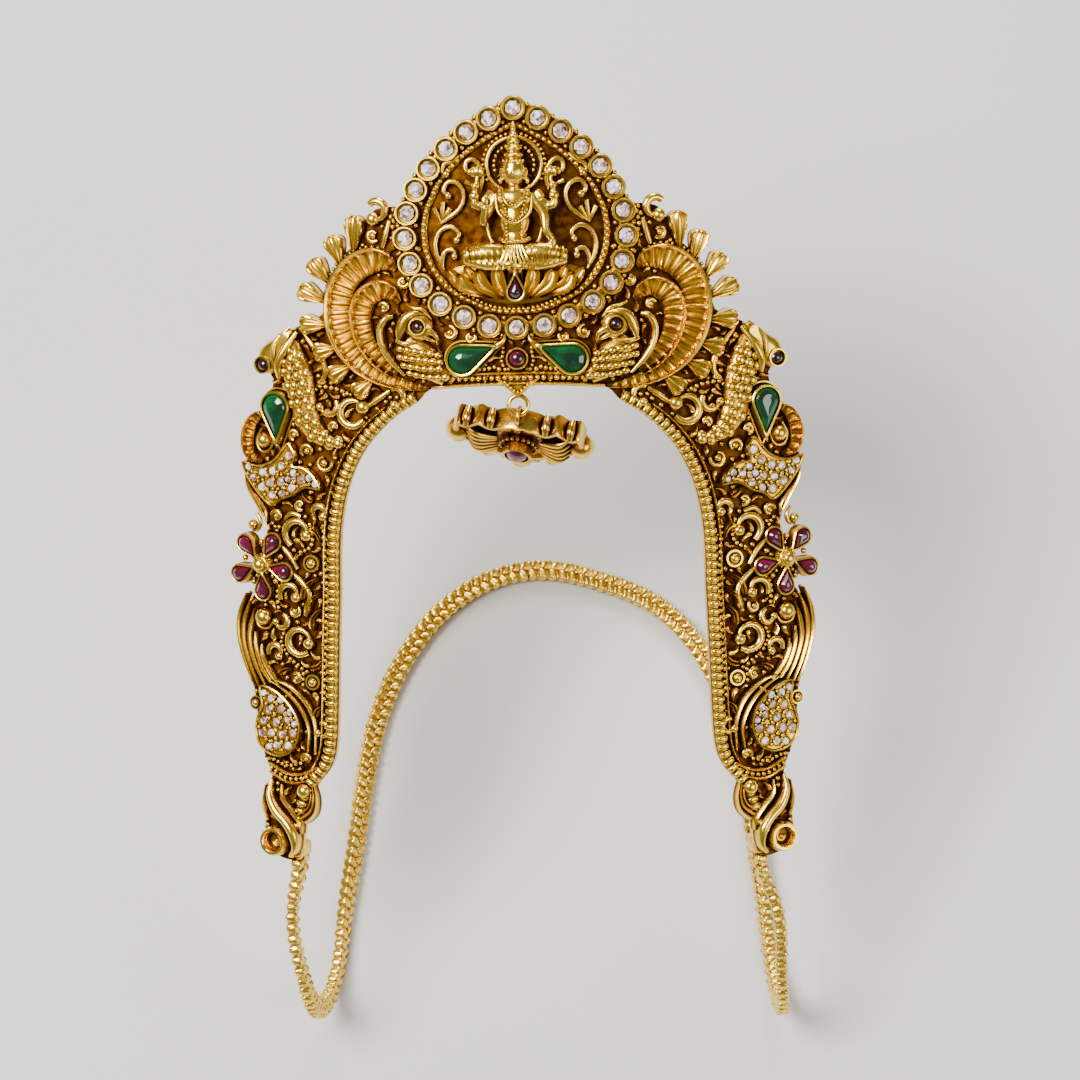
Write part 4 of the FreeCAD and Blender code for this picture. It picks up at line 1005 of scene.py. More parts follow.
def flower():
    metal = Metal()
    (u0, v0), reach = flowerCentre, flowerLook["reach"]
    for angle in range(50, 410, 72):
        turn, between = math.radians(angle), math.radians(angle + 36)
        pearCup(metal, (u0 + reach * math.cos(turn), v0 + reach * math.sin(turn), angle + 90),
                *flowerLook["cup"])
        metal.ball(u0 + 2.9 * math.cos(between), v0 + 2.9 * math.sin(between), 0.45, 0.42)
    metal.turned(u0, v0, [(1.5, foot), (1.5, 0.6), (1.25, 0.85), (1.2, 1.3), (1.0, 1.5),
                          (0.9, 1.5), (0.85, 1.9), (0.6, 2.2), (0.2, 2.32)])
    metal.mirrored()
    metal.piece("flower_setting", castGold)
    for c, s in circle(12):
        beads.extend(bothSpots(u0 + 1.3 * c, v0 + 1.3 * s, 0.85, 0, (0.2, 0.2, 0.24)))


flower()
print("leaf, paisley and flower made")


# Legs: curls, rosettes with rings, feather strands on the outer edge, sweeping lines

def rosette(metal, u, v, radius):
    metal.turned(u, v, [(radius * share, w) for share, w in (
        (1.1, foot), (1.1, 0.5), (1, 0.85), (0.8, 0.85), (0.72, 0.55), (0.6, 0.55), (0.55, 1.0),
        (0.4, 1.25), (0.15, 1.35))])


legLook = {"sweepHeight": 1.35, "leaf": (0.62, 1.05), "beadHeight": 0.5}  # mm


def legs():
    metal = Metal()
    for row in (  # u, v, radius, wire, start, sweep, knob
        (30.2, -7.4, 1.9, 0.5, -60, 250, 0.8), (26.9, -4.6, 1.0, 0.45, 0, 220, 0.62),
        (31.6, -15.6, 1.5, 0.42, -30, 230, 0.72), (30.2, -21.8, 1.9, 0.48, -130, 320, 0.8),
        (33.9, -23.4, 1.1, 0.42, -20, 240, 0.55), (30.4, -30.6, 3.0, 0.45, -60, 120, 0.0),
        (32.9, -19.3, 1.0, 0.4, 110, 250, 0.5), (27.2, -33.6, 1.0, 0.4, 70, 260, 0.55),
    ):
        curl(metal, *row, inward=0.25)
    for u, v, radius in ((28.2, -11.35, 1.15), (28.4, -27.2, 1.05), (37.0, -30.4, 0.95)):
        rosette(metal, u, v, radius)
    metal.ball(35.4, -18.7, 0.95, 1.15, 14)
    metal.tube([(34.0, -19.0, 0.5), (34.9, -20.2, 0.5), (36.3, -20.1, 0.5), (36.9, -18.9, 0.5)],
               0.22)
    sweeps = [
        [(37.9, -15.6), (39.15, -18.4), (39.35, -21.4), (38.45, -24.8), (36.9, -28.2)],
        [(37.2, -16.4), (38.4, -19.0), (38.6, -22.0), (37.7, -25.2), (36.1, -28.6)],
        [(36.6, -17.6), (37.5, -19.8), (37.7, -22.4), (36.8, -25.4), (35.2, -28.2)],
        [(36.7, -20.8), (36.8, -22.8), (35.9, -25.6), (34.5, -27.6)],
        [(35.8, -22.4), (35.9, -23.8), (35.0, -25.8), (33.4, -27.8)],
    ]
    for k, line in enumerate(sweeps):
        tall = legLook["sweepHeight"] - 0.06 * k
        metal.ribbon([(*spot, half, tall)
                      for spot, half in zip(line, (0.16, 0.4, 0.46, 0.42, 0.2))], archTop)
    for line in (
        [(35.2, -26.9), (32.6, -28.5), (30.4, -30.7), (29.1, -33.6), (29.3, -36.6)],
        [(34.2, -27.0), (31.8, -28.0), (29.5, -30.0), (28.2, -33.0), (28.2, -36.8)],
    ):
        metal.ribbon([(*spot, half, 1.15)
                      for spot, half in zip(line, (0.15, 0.36, 0.42, 0.36, 0.2))], archTop)
    for root, tip, bow in (
        ((27.2, -13.4), (29.6, -16.3), 0.2), ((27.0, -15.4), (29.0, -18.3), 0.2),
        ((26.7, -17.4), (28.3, -20.2), 0.2), ((26.7, -23.6), (28.8, -25.4), -0.2),
        ((26.6, -30.4), (28.2, -32.0), 0.2), ((26.9, -8.6), (28.6, -6.6), 0.2),
        ((31.6, -25.6), (33.4, -26.4), 0.1), ((29.3, -1.9), (27.8, -3.1), 0.1),
    ):
        leafBlade(metal, root, tip, *legLook["leaf"], bow, 2)
    stalk(metal, [(32.0, -5.6), (31.0, -4.8), (29.6, -5.2)], [0.25, 0.4, 0.3])
    stalk(metal, [(30.9, -12.9), (29.4, -14.2), (28.6, -15.9), (29.3, -18.4)],
          [0.3, 0.42, 0.42, 0.3])
    stalk(metal, [(32.8, -9.0), (31.4, -10.4), (30.3, -12.2)], [0.25, 0.4, 0.3])
    hem = [(28.0, -38.6), (30.2, -39.6), (32.6, -39.7), (35.2, -38.4)]
    for lift in (0.0, -1.15):
        metal.ribbon([(u, v + lift, 0.3, 1.0) for u, v in hem], archTop)
    metal.mirrored()
    metal.piece("leg_scrolls", castGold)
    for line, pitch, radius in (
        ([(26.4, -7.0), (26.3, -10.6), (26.1, -14.6), (26.3, -19.4), (26.6, -24.8), (26.9, -29.4)],
         0.86, 0.38),
        ([(32.2, -13.4), (33.4, -15.4), (33.3, -17.4)], 0.72, 0.32),
        ([(31.2, -24.6), (29.9, -25.6), (29.9, -27.6)], 0.72, 0.3),
        ([(28.3, -39.3), (30.3, -40.2), (32.6, -40.3), (35.0, -39.1)], 0.8, 0.36),
        ([(29.8, -9.9), (28.5, -9.3), (28.0, -7.9), (28.4, -6.2)], 0.72, 0.32),
        ([(32.6, -20.9), (33.0, -22.0), (32.2, -23.6)], 0.66, 0.28),
        ([(30.6, -38.2), (32.6, -38.6), (34.6, -37.9)], 0.72, 0.3),
        ([(33.9, -6.2), (33.2, -7.2), (33.4, -8.3)], 0.66, 0.28),
    ):
        beadRow(line, pitch, legLook["beadHeight"], radius)


legs()


# Leg ends: a leaf with a ball, an S stem, an open tube curl and the chain's socket

endLook = {"tubeRoot": (34.5, -48.9), "socketPlace": (32.2, -1.65), "socketHalf": (1.1, 1.95)}  # mm


def terminals():
    metal = Metal()
    leafBlade(metal, (28.9, -41.3), (31.2, -45.9), 1.1, 1.3, -0.25)
    metal.ball(30.0, -41.9, 0.85, 1.02, 14)
    metal.ribbon([(34.9, -40.6, 0.25, 1.0), (35.1, -42.6, 0.55, 1.6), (34.2, -44.6, 0.7, 1.9),
                  (32.6, -46.2, 0.75, 2.0), (31.6, -47.8, 0.75, 2.0), (31.5, -49.7, 0.5, 1.6),
                  (32.3, -50.9, 0.3, 1.2)], flatRound)
    metal.ribbon([(33.4, -41.2, 0.2, 0.9), (33.3, -43.0, 0.45, 1.3), (32.0, -44.6, 0.5, 1.4),
                  (30.9, -46.2, 0.45, 1.3), (30.7, -47.8, 0.2, 0.9)], archTop)
    metal.ribbon([(35.9, -41.4, 0.2, 0.9), (36.2, -44.0, 0.35, 1.2), (35.8, -46.2, 0.3, 1.0)],
                 archTop)
    metal.turned(*endLook["tubeRoot"], [(2.05, -1.2), (2.1, 0.6), (2.0, 1.5), (1.75, 1.95),
                                        (1.45, 1.95), (1.2, 1.6), (1.12, 0.9), (1.1, 0.35),
                                        (0.5, 0.32)], 24)
    metal.mirrored()
    metal.piece("leg_ends", castGold)
    beadRow([(29.3, -43.2), (29.9, -44.8), (30.4, -46.2)], 0.66, 0.45, 0.26)
    socket = Metal()
    (u, w), (across, deep) = endLook["socketPlace"], endLook["socketHalf"]
    socket.loft([[(u + across * share * c, v, w + deep * share * s) for c, s in circle(16, 0.6)]
                 for v, share in ((-49.1, 0.6), (-49.3, 0.9), (-49.7, 1.0), (-50.8, 1.0),
                                  (-51.1, 0.93), (-51.25, 0.7))])
    socket.mirrored()
    # The sockets take the darker gold as painted shade.
    socket.piece("chain_sockets", shadedDropGold)


terminals()
print("legs and leg ends made")


# Seated figure on its lotus, with the medallion's scrolls and sprigs round it

figureLook = {"voxel": 0.13, "passes": 2}  # mm; how often the joined body is eased
nimbusV = 40.7  # mm, height of the head's middle


def softened(metal, name, material):  # one cast body: forms joined by a voxel remesh and eased
    holder = linked(name + "Rough", newMesh(name + "Rough", metal.points, metal.faces))
    remesh = holder.modifiers.new("Join", "REMESH")
    remesh.mode = "VOXEL"
    remesh.voxel_size = figureLook["voxel"]
    ease = holder.modifiers.new("Ease", "SMOOTH")
    ease.iterations = figureLook["passes"]
    ease.factor = 0.5
    mesh = plainMesh(name, holder)
    flat = np.zeros(len(mesh.vertices) * 3)
    mesh.vertices.foreach_get("co", flat)
    mesh.vertices.foreach_set("co", (bent(flat) * mm).ravel())
    mesh.update()
    mesh.polygons.foreach_set("use_smooth", [True] * len(mesh.polygons))
    mesh.materials.clear()
    mesh.materials.append(material)
    return settle(name, mesh, "armlet")


def nimbusArc(radius, past, count):  # past: radians beyond the half circle at each end
    return [(radius * math.cos(t), nimbusV + radius * math.sin(t))
            for t in np.linspace(-past, math.pi + past, count)]


def figureBody():
    metal = Metal()

    def egg(u, v, w, a, b, c):
        rings = []
        for row in range(1, 9):
            tilt = math.pi * row / 9
            rings.append([(u + a * math.sin(tilt) * x, v + b * math.cos(tilt),
                           w + c * math.sin(tilt) * z) for x, z in circle(16)])
        metal.loft(rings)

    for row in (
        (0, 36.2, 1.5, 2.75, 1.7, 1.2), (0, 33.6, 1.45, 1.95, 2.6, 1.2),
        (0, 31.2, 1.4, 1.65, 2.0, 1.1), (0, 29.7, 1.4, 2.7, 1.4, 1.4),
        (0, 38.2, 1.5, 0.7, 1.2, 0.7), (0, 39.8, 1.9, 1.5, 1.85, 1.4),
        (0, 39.65, 3.15, 0.22, 0.48, 0.32), (-0.58, 40.1, 3.05, 0.34, 0.14, 0.15),
        (0.58, 40.1, 3.05, 0.34, 0.14, 0.15), (0, 38.95, 3.0, 0.4, 0.13, 0.2),
        (-1.55, 39.7, 1.8, 0.27, 0.6, 0.4), (-1.7, 38.6, 1.8, 0.3, 0.45, 0.35),
        (1.55, 39.7, 1.8, 0.27, 0.6, 0.4), (1.7, 38.6, 1.8, 0.3, 0.45, 0.35),
        (0, 41.1, 1.75, 1.5, 0.42, 1.4), (0, 41.9, 1.75, 1.32, 0.5, 1.25),
        (0, 42.8, 1.75, 1.12, 0.5, 1.1), (0, 43.6, 1.75, 0.88, 0.5, 0.9),
        (0, 44.4, 1.75, 0.62, 0.5, 0.7), (0, 45.2, 1.75, 0.4, 0.5, 0.5),
        (0, 45.9, 1.75, 0.3, 0.4, 0.35),
    ):
        egg(*row)
    for sign in (-1, 1):
        metal.tube([(sign * 2.3, 36.8, 1.4), (sign * 3.9, 35.6, 1.5), (sign * 5.0, 35.6, 1.7),
                    (sign * 4.9, 37.4, 1.8)], [0.8, 0.62, 0.52, 0.4], 12)
        egg(sign * 4.85, 38.0, 1.9, 0.55, 0.5, 0.5)
        metal.tube([(sign * 4.7, 38.3, 1.7), (sign * 4.6, 39.4, 1.6)], [0.3, 0.2], 8)
        for k in (-1, 0, 1):
            egg(sign * 4.6 + 0.55 * k, 39.9 - 0.12 * abs(k), 1.6, 0.32, 0.7, 0.4)
        metal.tube([(sign * 0.8, 29.3, 1.6), (sign * 3.6, 29.5, 1.9), (sign * 6.4, 28.9, 1.5)],
                   [1.2, 1.3, 0.95], 14)
        metal.tube([(sign * 6.3, 28.7, 1.5), (sign * 3.4, 28.0, 2.2), (sign * 0.4, 28.0, 2.5)],
                   [0.85, 0.85, 0.6], 14)
        metal.tube([(sign * 2.9, 37.3, 1.6), (sign * 3.5, 36.4, 2.0)], [0.5, 0.5], 10)
    metal.tube([(2.4, 36.4, 1.5), (3.7, 34.3, 1.8), (3.9, 32.4, 2.2), (4.6, 31.2, 2.2)],
               [0.8, 0.68, 0.52, 0.45], 12)
    metal.tube([(-2.4, 36.4, 1.5), (-3.8, 34.0, 1.8), (-3.9, 33.4, 2.2), (-3.6, 35.4, 2.8)],
               [0.8, 0.68, 0.55, 0.42], 12)
    for row in ((-3.6, 36.1, 2.9, 0.5, 0.75, 0.3), (4.7, 30.8, 2.3, 0.5, 0.6, 0.35),
                (-0.6, 28.0, 3.0, 0.825, 0.44, 0.385), (0.8, 27.7, 2.9, 0.825, 0.44, 0.385)):
        egg(*row)
    softened(metal, "figure_body", castGold)


def figureDress():
    dress = Metal()
    for sign in (-1, 1):
        for start, end, radius, count in (((0.9, 29.3, 1.75), (6.2, 29.1, 1.75), 1.4, 7),
                                          ((6.0, 28.5, 1.7), (0.9, 28.0, 2.45), 0.95, 7)):
            for k in range(count):
                share = (k + 0.5) / count
                u, v, w = [a + (b - a) * share for a, b in zip(start, end)]
                bulge = radius * (1.0 - 0.25 * abs(2 * share - 1) ** 2)
                turns = [math.radians(angle) for angle in (-50, -15, 20, 55, 85)]
                fold = [(sign * (u + 0.25 * math.sin(turn)), v + bulge * math.sin(turn),
                         w + bulge * math.cos(turn)) for turn in turns]
                dress.tube(fold, [0.1, 0.17, 0.19, 0.17, 0.1], 6, 3)
    for half, size in (
        ([(-1.5, 37.6, 2.1), (-1.1, 36.1, 2.9), (0, 35.2, 3.0)], 0.17),
        ([(-2.3, 36.9, 2.1), (-1.9, 34.6, 2.75), (0, 33.2, 2.95)], 0.2),
        ([(-3.4, 37.2, 1.6), (-3.6, 33.4, 1.2), (-2.6, 30.4, 1.6), (0, 29.5, 2.7)], 0.24),
        ([(-1.85, 31.2, 1.9), (-1.0, 30.9, 2.5), (0, 30.85, 2.65)], 0.3),
    ):
        dress.tube(evenSides(half), size, 8)
    for k in range(-3, 4):
        dress.tube([(k * 0.28, 30.4, 2.6), (k * 0.5, 28.9, 3.0), (k * 0.75, 27.3, 2.9)],
                   [0.14, 0.2, 0.22], 7)
    for sign in (-1, 1):
        for place in ((sign * 4.4, 35.4, 1.6), (sign * 5.0, 36.7, 1.8), (sign * 6.0, 28.8, 1.6)):
            dress.ball(*place, 0.66, 12, 0.9)
    dress.tube([(3.5 * c, nimbusV + 3.5 * s, 0.85) for c, s in circle(24)], 0.28, 8, 2, True)
    for c, s in circle(20):
        leafBlade(dress, (1.7 * c, nimbusV + 1.7 * s), (3.0 * c, nimbusV + 3.0 * s), 0.2, 0.6, 0, 1)
    dress.piece("figure_dress", castGold)
    beadRow(nimbusArc(2.55, 0.3, 16), 0.62, 0.75, 0.27, sides=1)
    beadRow([(1.9, 37.9), (1.55, 36.4), (1.05, 34.8), (0.95, 32.8), (0.95, 31.2)], 0.5, 2.68, 0.22)
    beadRow(nimbusArc(3.95, 0.5, 20), 0.66, 0.6, 0.27, sides=1)
    for half, w, radius in (([(-1.0, 36.4), (0, 35.5)], 3.0, 0.17),
                            ([(-1.6, 34.9), (0, 33.5)], 3.0, 0.17),
                            ([(-1.5, 31.1), (0, 30.8)], 2.85, 0.17),
                            ([(-1.2, 41.2), (0, 41.1)], 3.0, 0.18)):
        beadRow(evenSides(half), 0.38, w, radius, sides=1)


figureBody()
figureDress()

lotusLook = {"petals": ((4, 1.0, 1.6, 0.82), (3, 0.84, 2.4, 0.98)),
             "cup": (0.85, 1.9, 2.9, 0.35)}  # mm; petals: count a side, reach, height, half width


def lotus():
    metal = Metal()
    bowl = smooth([(-8.4, 27.2), (-7.3, 25.0), (-4.2, 23.3), (0, 22.7), (4.2, 23.3), (7.3, 25.0),
                   (8.4, 27.2), (4, 28.2), (0, 28.4), (-4, 28.2)], 4, True)
    metal.shelf(bowl, [(0, foot), (0, 0.3), (0.5, 0.5), (1.4, 0.55)])
    for layer, (count, reach, height, wide) in enumerate(lotusLook["petals"]):
        for k in range(-count, count + 1):
            share, side = k / count, abs(k) / count
            u1, v1 = share * 3.0, 23.2 + 0.6 * side
            u3, v3 = share * 8.8 * reach, 28.9 - 1.6 * side - layer * 0.5
            u2, v2 = (u1 + u3) / 2 + share * 0.9, (v1 + v3) / 2 - 0.35 * side
            lift = height - 0.35 * side
            metal.ribbon([(u1, v1, 0.35, lift * 0.5), (u2, v2, wide, lift * 0.95),
                          ((u2 + u3 * 2) / 3, (v2 + v3 * 2) / 3, wide * 0.85, lift),
                          (u3, v3, 0.12, lift * 0.85)], hollow, steps=4)
    pearCup(metal, (0, 24.4, 0), *lotusLook["cup"])
    metal.piece("lotus", castGold)


def medallionScrolls():
    scrolls = Metal()
    for line in (
        [(4.3, 37.4), (4.1, 38.8), (4.3, 40.3), (5.2, 41.4), (6.1, 41.1), (6.2, 40.1), (5.6, 39.8)],
        [(9.6, 33.2), (8.3, 34.1), (7.1, 35.1), (6.5, 36.7), (7.1, 38.2), (8.4, 38.6), (9.1, 37.5),
         (8.5, 36.8)],
        [(9.2, 27.2), (10.1, 29.0), (10.3, 30.8), (9.6, 32.3), (8.3, 32.8), (7.2, 32.0),
         (7.5, 31.1)],
        [(9.4, 27.4), (9.4, 28.8), (8.8, 29.8), (7.9, 29.7), (7.8, 29.0)],
        [(7.0, 42.0), (7.9, 41.2), (8.9, 40.9), (9.3, 40.0), (8.7, 39.6)],
    ):
        rows = [(u, v, 0.5 + 0.25 * k / len(line)) for k, (u, v) in enumerate(line)]
        scrolls.tube(rows, [0.16] + [0.34] * (len(line) - 2) + [0.3], 10, 5)
        scrolls.ball(*line[-1], 0.8, 0.5, 12)
    for root, tip in (((9.5, 33.2), (9.2, 36.0)), ((9.5, 33.2), (10.4, 35.2)),
                      ((9.4, 33.4), (8.3, 35.2)), ((5.0, 38.0), (6.3, 38.6))):
        middle = (np.array(root) + np.array(tip)) / 2
        scrolls.tube([(*root, 0.4), (*middle, 0.6), (*tip, 0.6)], [0.14, 0.28, 0.36], 10)
    scrolls.mirrored()
    scrolls.piece("medallion_scrolls", castGold)
    beadRow(evenSides([(-6.6, 24.2), (-3.4, 22.55), (0, 22.1)]), 0.6, 0.5, 0.26, sides=1)


lotus()
medallionScrolls()
print("figure and lotus made")


# Fixed ring under the bridge

ringLook = {"v": 9.55, "w": -0.1, "radius": 1.25, "wire": 0.3}  # mm


def fixedRing():
    ring, reach = Metal(), ringLook["radius"]
    ring.tube([(reach * c, ringLook["v"] + reach * s, ringLook["w"]) for c, s in circle(16)],
              ringLook["wire"], 12, 2, True)
    ring.piece("fixed_ring", ringGold)


fixedRing()


# Chain: two rows of slanted ridged links, woven along the route that the band takes

chainLook = {"pitch": 1.5, "width": 3.3, "thick": 1.7, "slant": 33,
             "link": (0.88, 0.95, 1.0), "edgeLink": (0.82, 1.0, 0.9)}  # mm, degrees, shares
chainShift = np.array((0, 0.292, 0.106))
socketSpot = (32.2, -49.6)
frontRows = {
    "left": [(-31.9, -39.6, 24.2), (-31.0, -46.6, 19.4), (-30.0, -49.3, 12.2), (-28.9, -47.0, 5.2)],
    "right": [(33.0, -39.6, 24.2), (33.6, -46.6, 19.4), (33.9, -49.3, 12.2), (33.4, -47.0, 5.2)],
}
frontWidths = [(0, -0.62, 0.78), (0, -0.87, 0.5), (0, -1.0, 0.05), (0, -0.62, -0.78)]
groundRows = [  # x, y, lean from on edge
    (-27.6, -40.6, 10), (-26.9, -33.0, 22), (-25.7, -23.6, 35), (-24.6, -13.6, 48),
    (-23.0, -4.4, 60), (-19.6, 4.6, 72), (-14.2, 12.4, 82), (-7.2, 17.4, 88), (1.0, 19.0, 90),
    (8.8, 17.2, 88), (15.9, 14.0, 82), (22.4, 7.6, 72), (27.2, -2.6, 60), (29.6, -13.6, 48),
    (30.8, -23.8, 35), (31.8, -33.0, 22), (32.5, -40.6, 10),
]


def chainRoute():
    halfWidth, halfThick = chainLook["width"] / 2, chainLook["thick"] / 2
    places, widths = [], []
    for side, sign in (("left", -1), ("right", 1)):
        root = onPlate(sign * socketSpot[0], socketSpot[1] + 0.4, -halfWidth)
        mouth = onPlate(sign * socketSpot[0], socketSpot[1] - 2.5, -halfWidth)
        normal = np.array(root.to_3x3() @ Vector((0, 0, 1)))
        strand = [(np.array(root.translation), normal), (np.array(mouth.translation), normal)]
        for point, width in zip(frontRows[side], frontWidths):
            strand.append((np.array(point) + chainShift, np.array(width, float)))
        if side == "left":
            rows = list(strand)
            for x, y, tilt in groundRows:
                turn = math.radians(tilt)
                lift = halfWidth * math.cos(turn) + halfThick * math.sin(turn)
                rows.append((np.array((x, y, lift)) + chainShift, turn))
        else:
            rows += strand[::-1]
    return rows


def naturalSpline(points, marks, wanted):  # cubic, with no bend at its two ends
    count = len(points)
    gaps = np.diff(marks)
    matrix, right = np.zeros((count, count)), np.zeros((count, points.shape[1]))
    matrix[0, 0] = matrix[-1, -1] = 1
    slopes = np.diff(points, axis=0) / gaps[:, None]
    for k in range(1, count - 1):
        matrix[k, k - 1:k + 2] = gaps[k - 1], 2 * (gaps[k - 1] + gaps[k]), gaps[k]
        right[k] = 6 * (slopes[k] - slopes[k - 1])
    curve = np.linalg.solve(matrix, right)
    out = []
    for mark in wanted:
        k = min(max(np.searchsorted(marks, mark, "right") - 1, 0), count - 2)
        a, b, h = marks[k + 1] - mark, mark - marks[k], gaps[k]
        out.append(curve[k] * a ** 3 / (6 * h) + curve[k + 1] * b ** 3 / (6 * h)
                   + (points[k] / h - curve[k] * h / 6) * a
                   + (points[k + 1] / h - curve[k + 1] * h / 6) * b)
    return np.array(out)


def chainFrames(pitch):  # middle, heading and broad side every pitch along the chain
    rows = chainRoute()
    points = np.array([place for place, width in rows])
    marks = distances(points)
    fine = np.linspace(0, marks[-1], 1500)
    line = naturalSpline(points, marks, fine)
    run = np.gradient(line, axis=0)
    run /= np.linalg.norm(run, axis=1)[:, None]
    broads = []
    for forward, mark in zip(run, fine):
        k = min(max(np.searchsorted(marks, mark, "right") - 1, 0), len(rows) - 2)
        share = (mark - marks[k]) / (marks[k + 1] - marks[k])
        ends = []
        for width in (rows[k][1], rows[k + 1][1]):
            if isinstance(width, np.ndarray):
                ends.append(width)
            else:
                inward = np.cross(forward, (0, 0, 1.0))
                ends.append(np.array((0, 0, -1.0)) * math.cos(width) + inward * math.sin(width))
        broad = ends[0] * (1 - share) + ends[1] * share
        broad = broad - forward * broad.dot(forward)
        broads.append(broad / np.linalg.norm(broad))
    length = distances(line)
    frames = []
    for mark in np.linspace(0.8, length[-1] - 0.8, int(length[-1] / pitch)):
        k = int(np.searchsorted(length, mark))
        frames.append((line[k], run[k], broads[k]))
    return frames


def linkUnit():  # a slanted flat wire loop's visible side, with a ridge along its middle
    link = Metal()
    rings = []
    for share in np.linspace(-1, 1, 9):
        half = 0.60 * math.sqrt(max(0.05, 1 - abs(share) ** 3))
        tall = 0.36 * math.sqrt(max(0.03, 1 - share ** 4))
        side = [(half, -0.25), (half, tall * 0.25), (half * 0.55, tall * 0.8), (0.07, tall)]
        rings.append([(share * 1.02, y, z) for y, z in side + [(-y, z) for y, z in side[::-1]]])
    link.loft(rings)
    return copyUnit("linkUnit", link)


def framePlace(centre, forward, thick):
    place = Matrix.Identity(4)
    for column, axis in enumerate((forward, np.cross(thick, forward), thick)):
        for row in range(3):
            place[row][column] = axis[row]
    place.translation = Vector(centre)
    return place


def chain():
    halfWidth, halfThick = chainLook["width"] / 2, chainLook["thick"] / 2
    slant = math.radians(chainLook["slant"])
    spots = []
    for step, (point, forward, broad) in enumerate(chainFrames(chainLook["pitch"] * 0.5)):
        side = 1 if step % 2 else -1  # links of the two rows take turns
        for face in (1, -1):
            thick = np.cross(forward, broad) * face
            turn = slant * side * face
            ahead = forward * math.sin(turn) * -1 + broad * math.cos(turn)
            centre = point + broad * side * halfWidth * 0.38 + thick * (halfThick - 0.42)
            spots.append((framePlace(centre, ahead, thick), chainLook["link"]))
        centre = point + broad * side * (halfWidth - 0.5)
        spots.append((framePlace(centre, np.cross(forward, broad), broad * side),
                      chainLook["edgeLink"]))
    repeat("chain_links", linkUnit(), spots, chainGold)
    core = Metal()
    rings = []
    for point, forward, broad in chainFrames(2.2):
        thick = np.cross(forward, broad)
        rings.append([tuple(point + broad * a * (halfWidth - 0.42) + thick * b * (halfThick - 0.42))
                      for a, b in ((1, 0.6), (0.8, 1), (-0.8, 1), (-1, 0.6), (-1, -0.6), (-0.8, -1),
                                   (0.8, -1), (1, -0.6))])
    core.loft(rings)
    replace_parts(core.piece("chain_core", chainGold, "pale_gold", place=Matrix.Identity(4)),
                "chain_band")


chain()
print("chain made")


# Pendant: lobed slab seen from above, ruby on its dark front, balls under it

pendantLook = {"width": 17.4, "thick": 3.0, "drop": 10.0, "hang": 1.2, "ball": 1.75,
               "cupBall": 0.3, "turn": -10}  # mm and degrees
pendantPlace = (Matrix.Translation(onPlate(0, ringLook["v"] - ringLook["radius"],
                                           ringLook["w"]).translation)
                @ Matrix.Rotation(math.radians(pendantLook["turn"]), 4, "Z"))


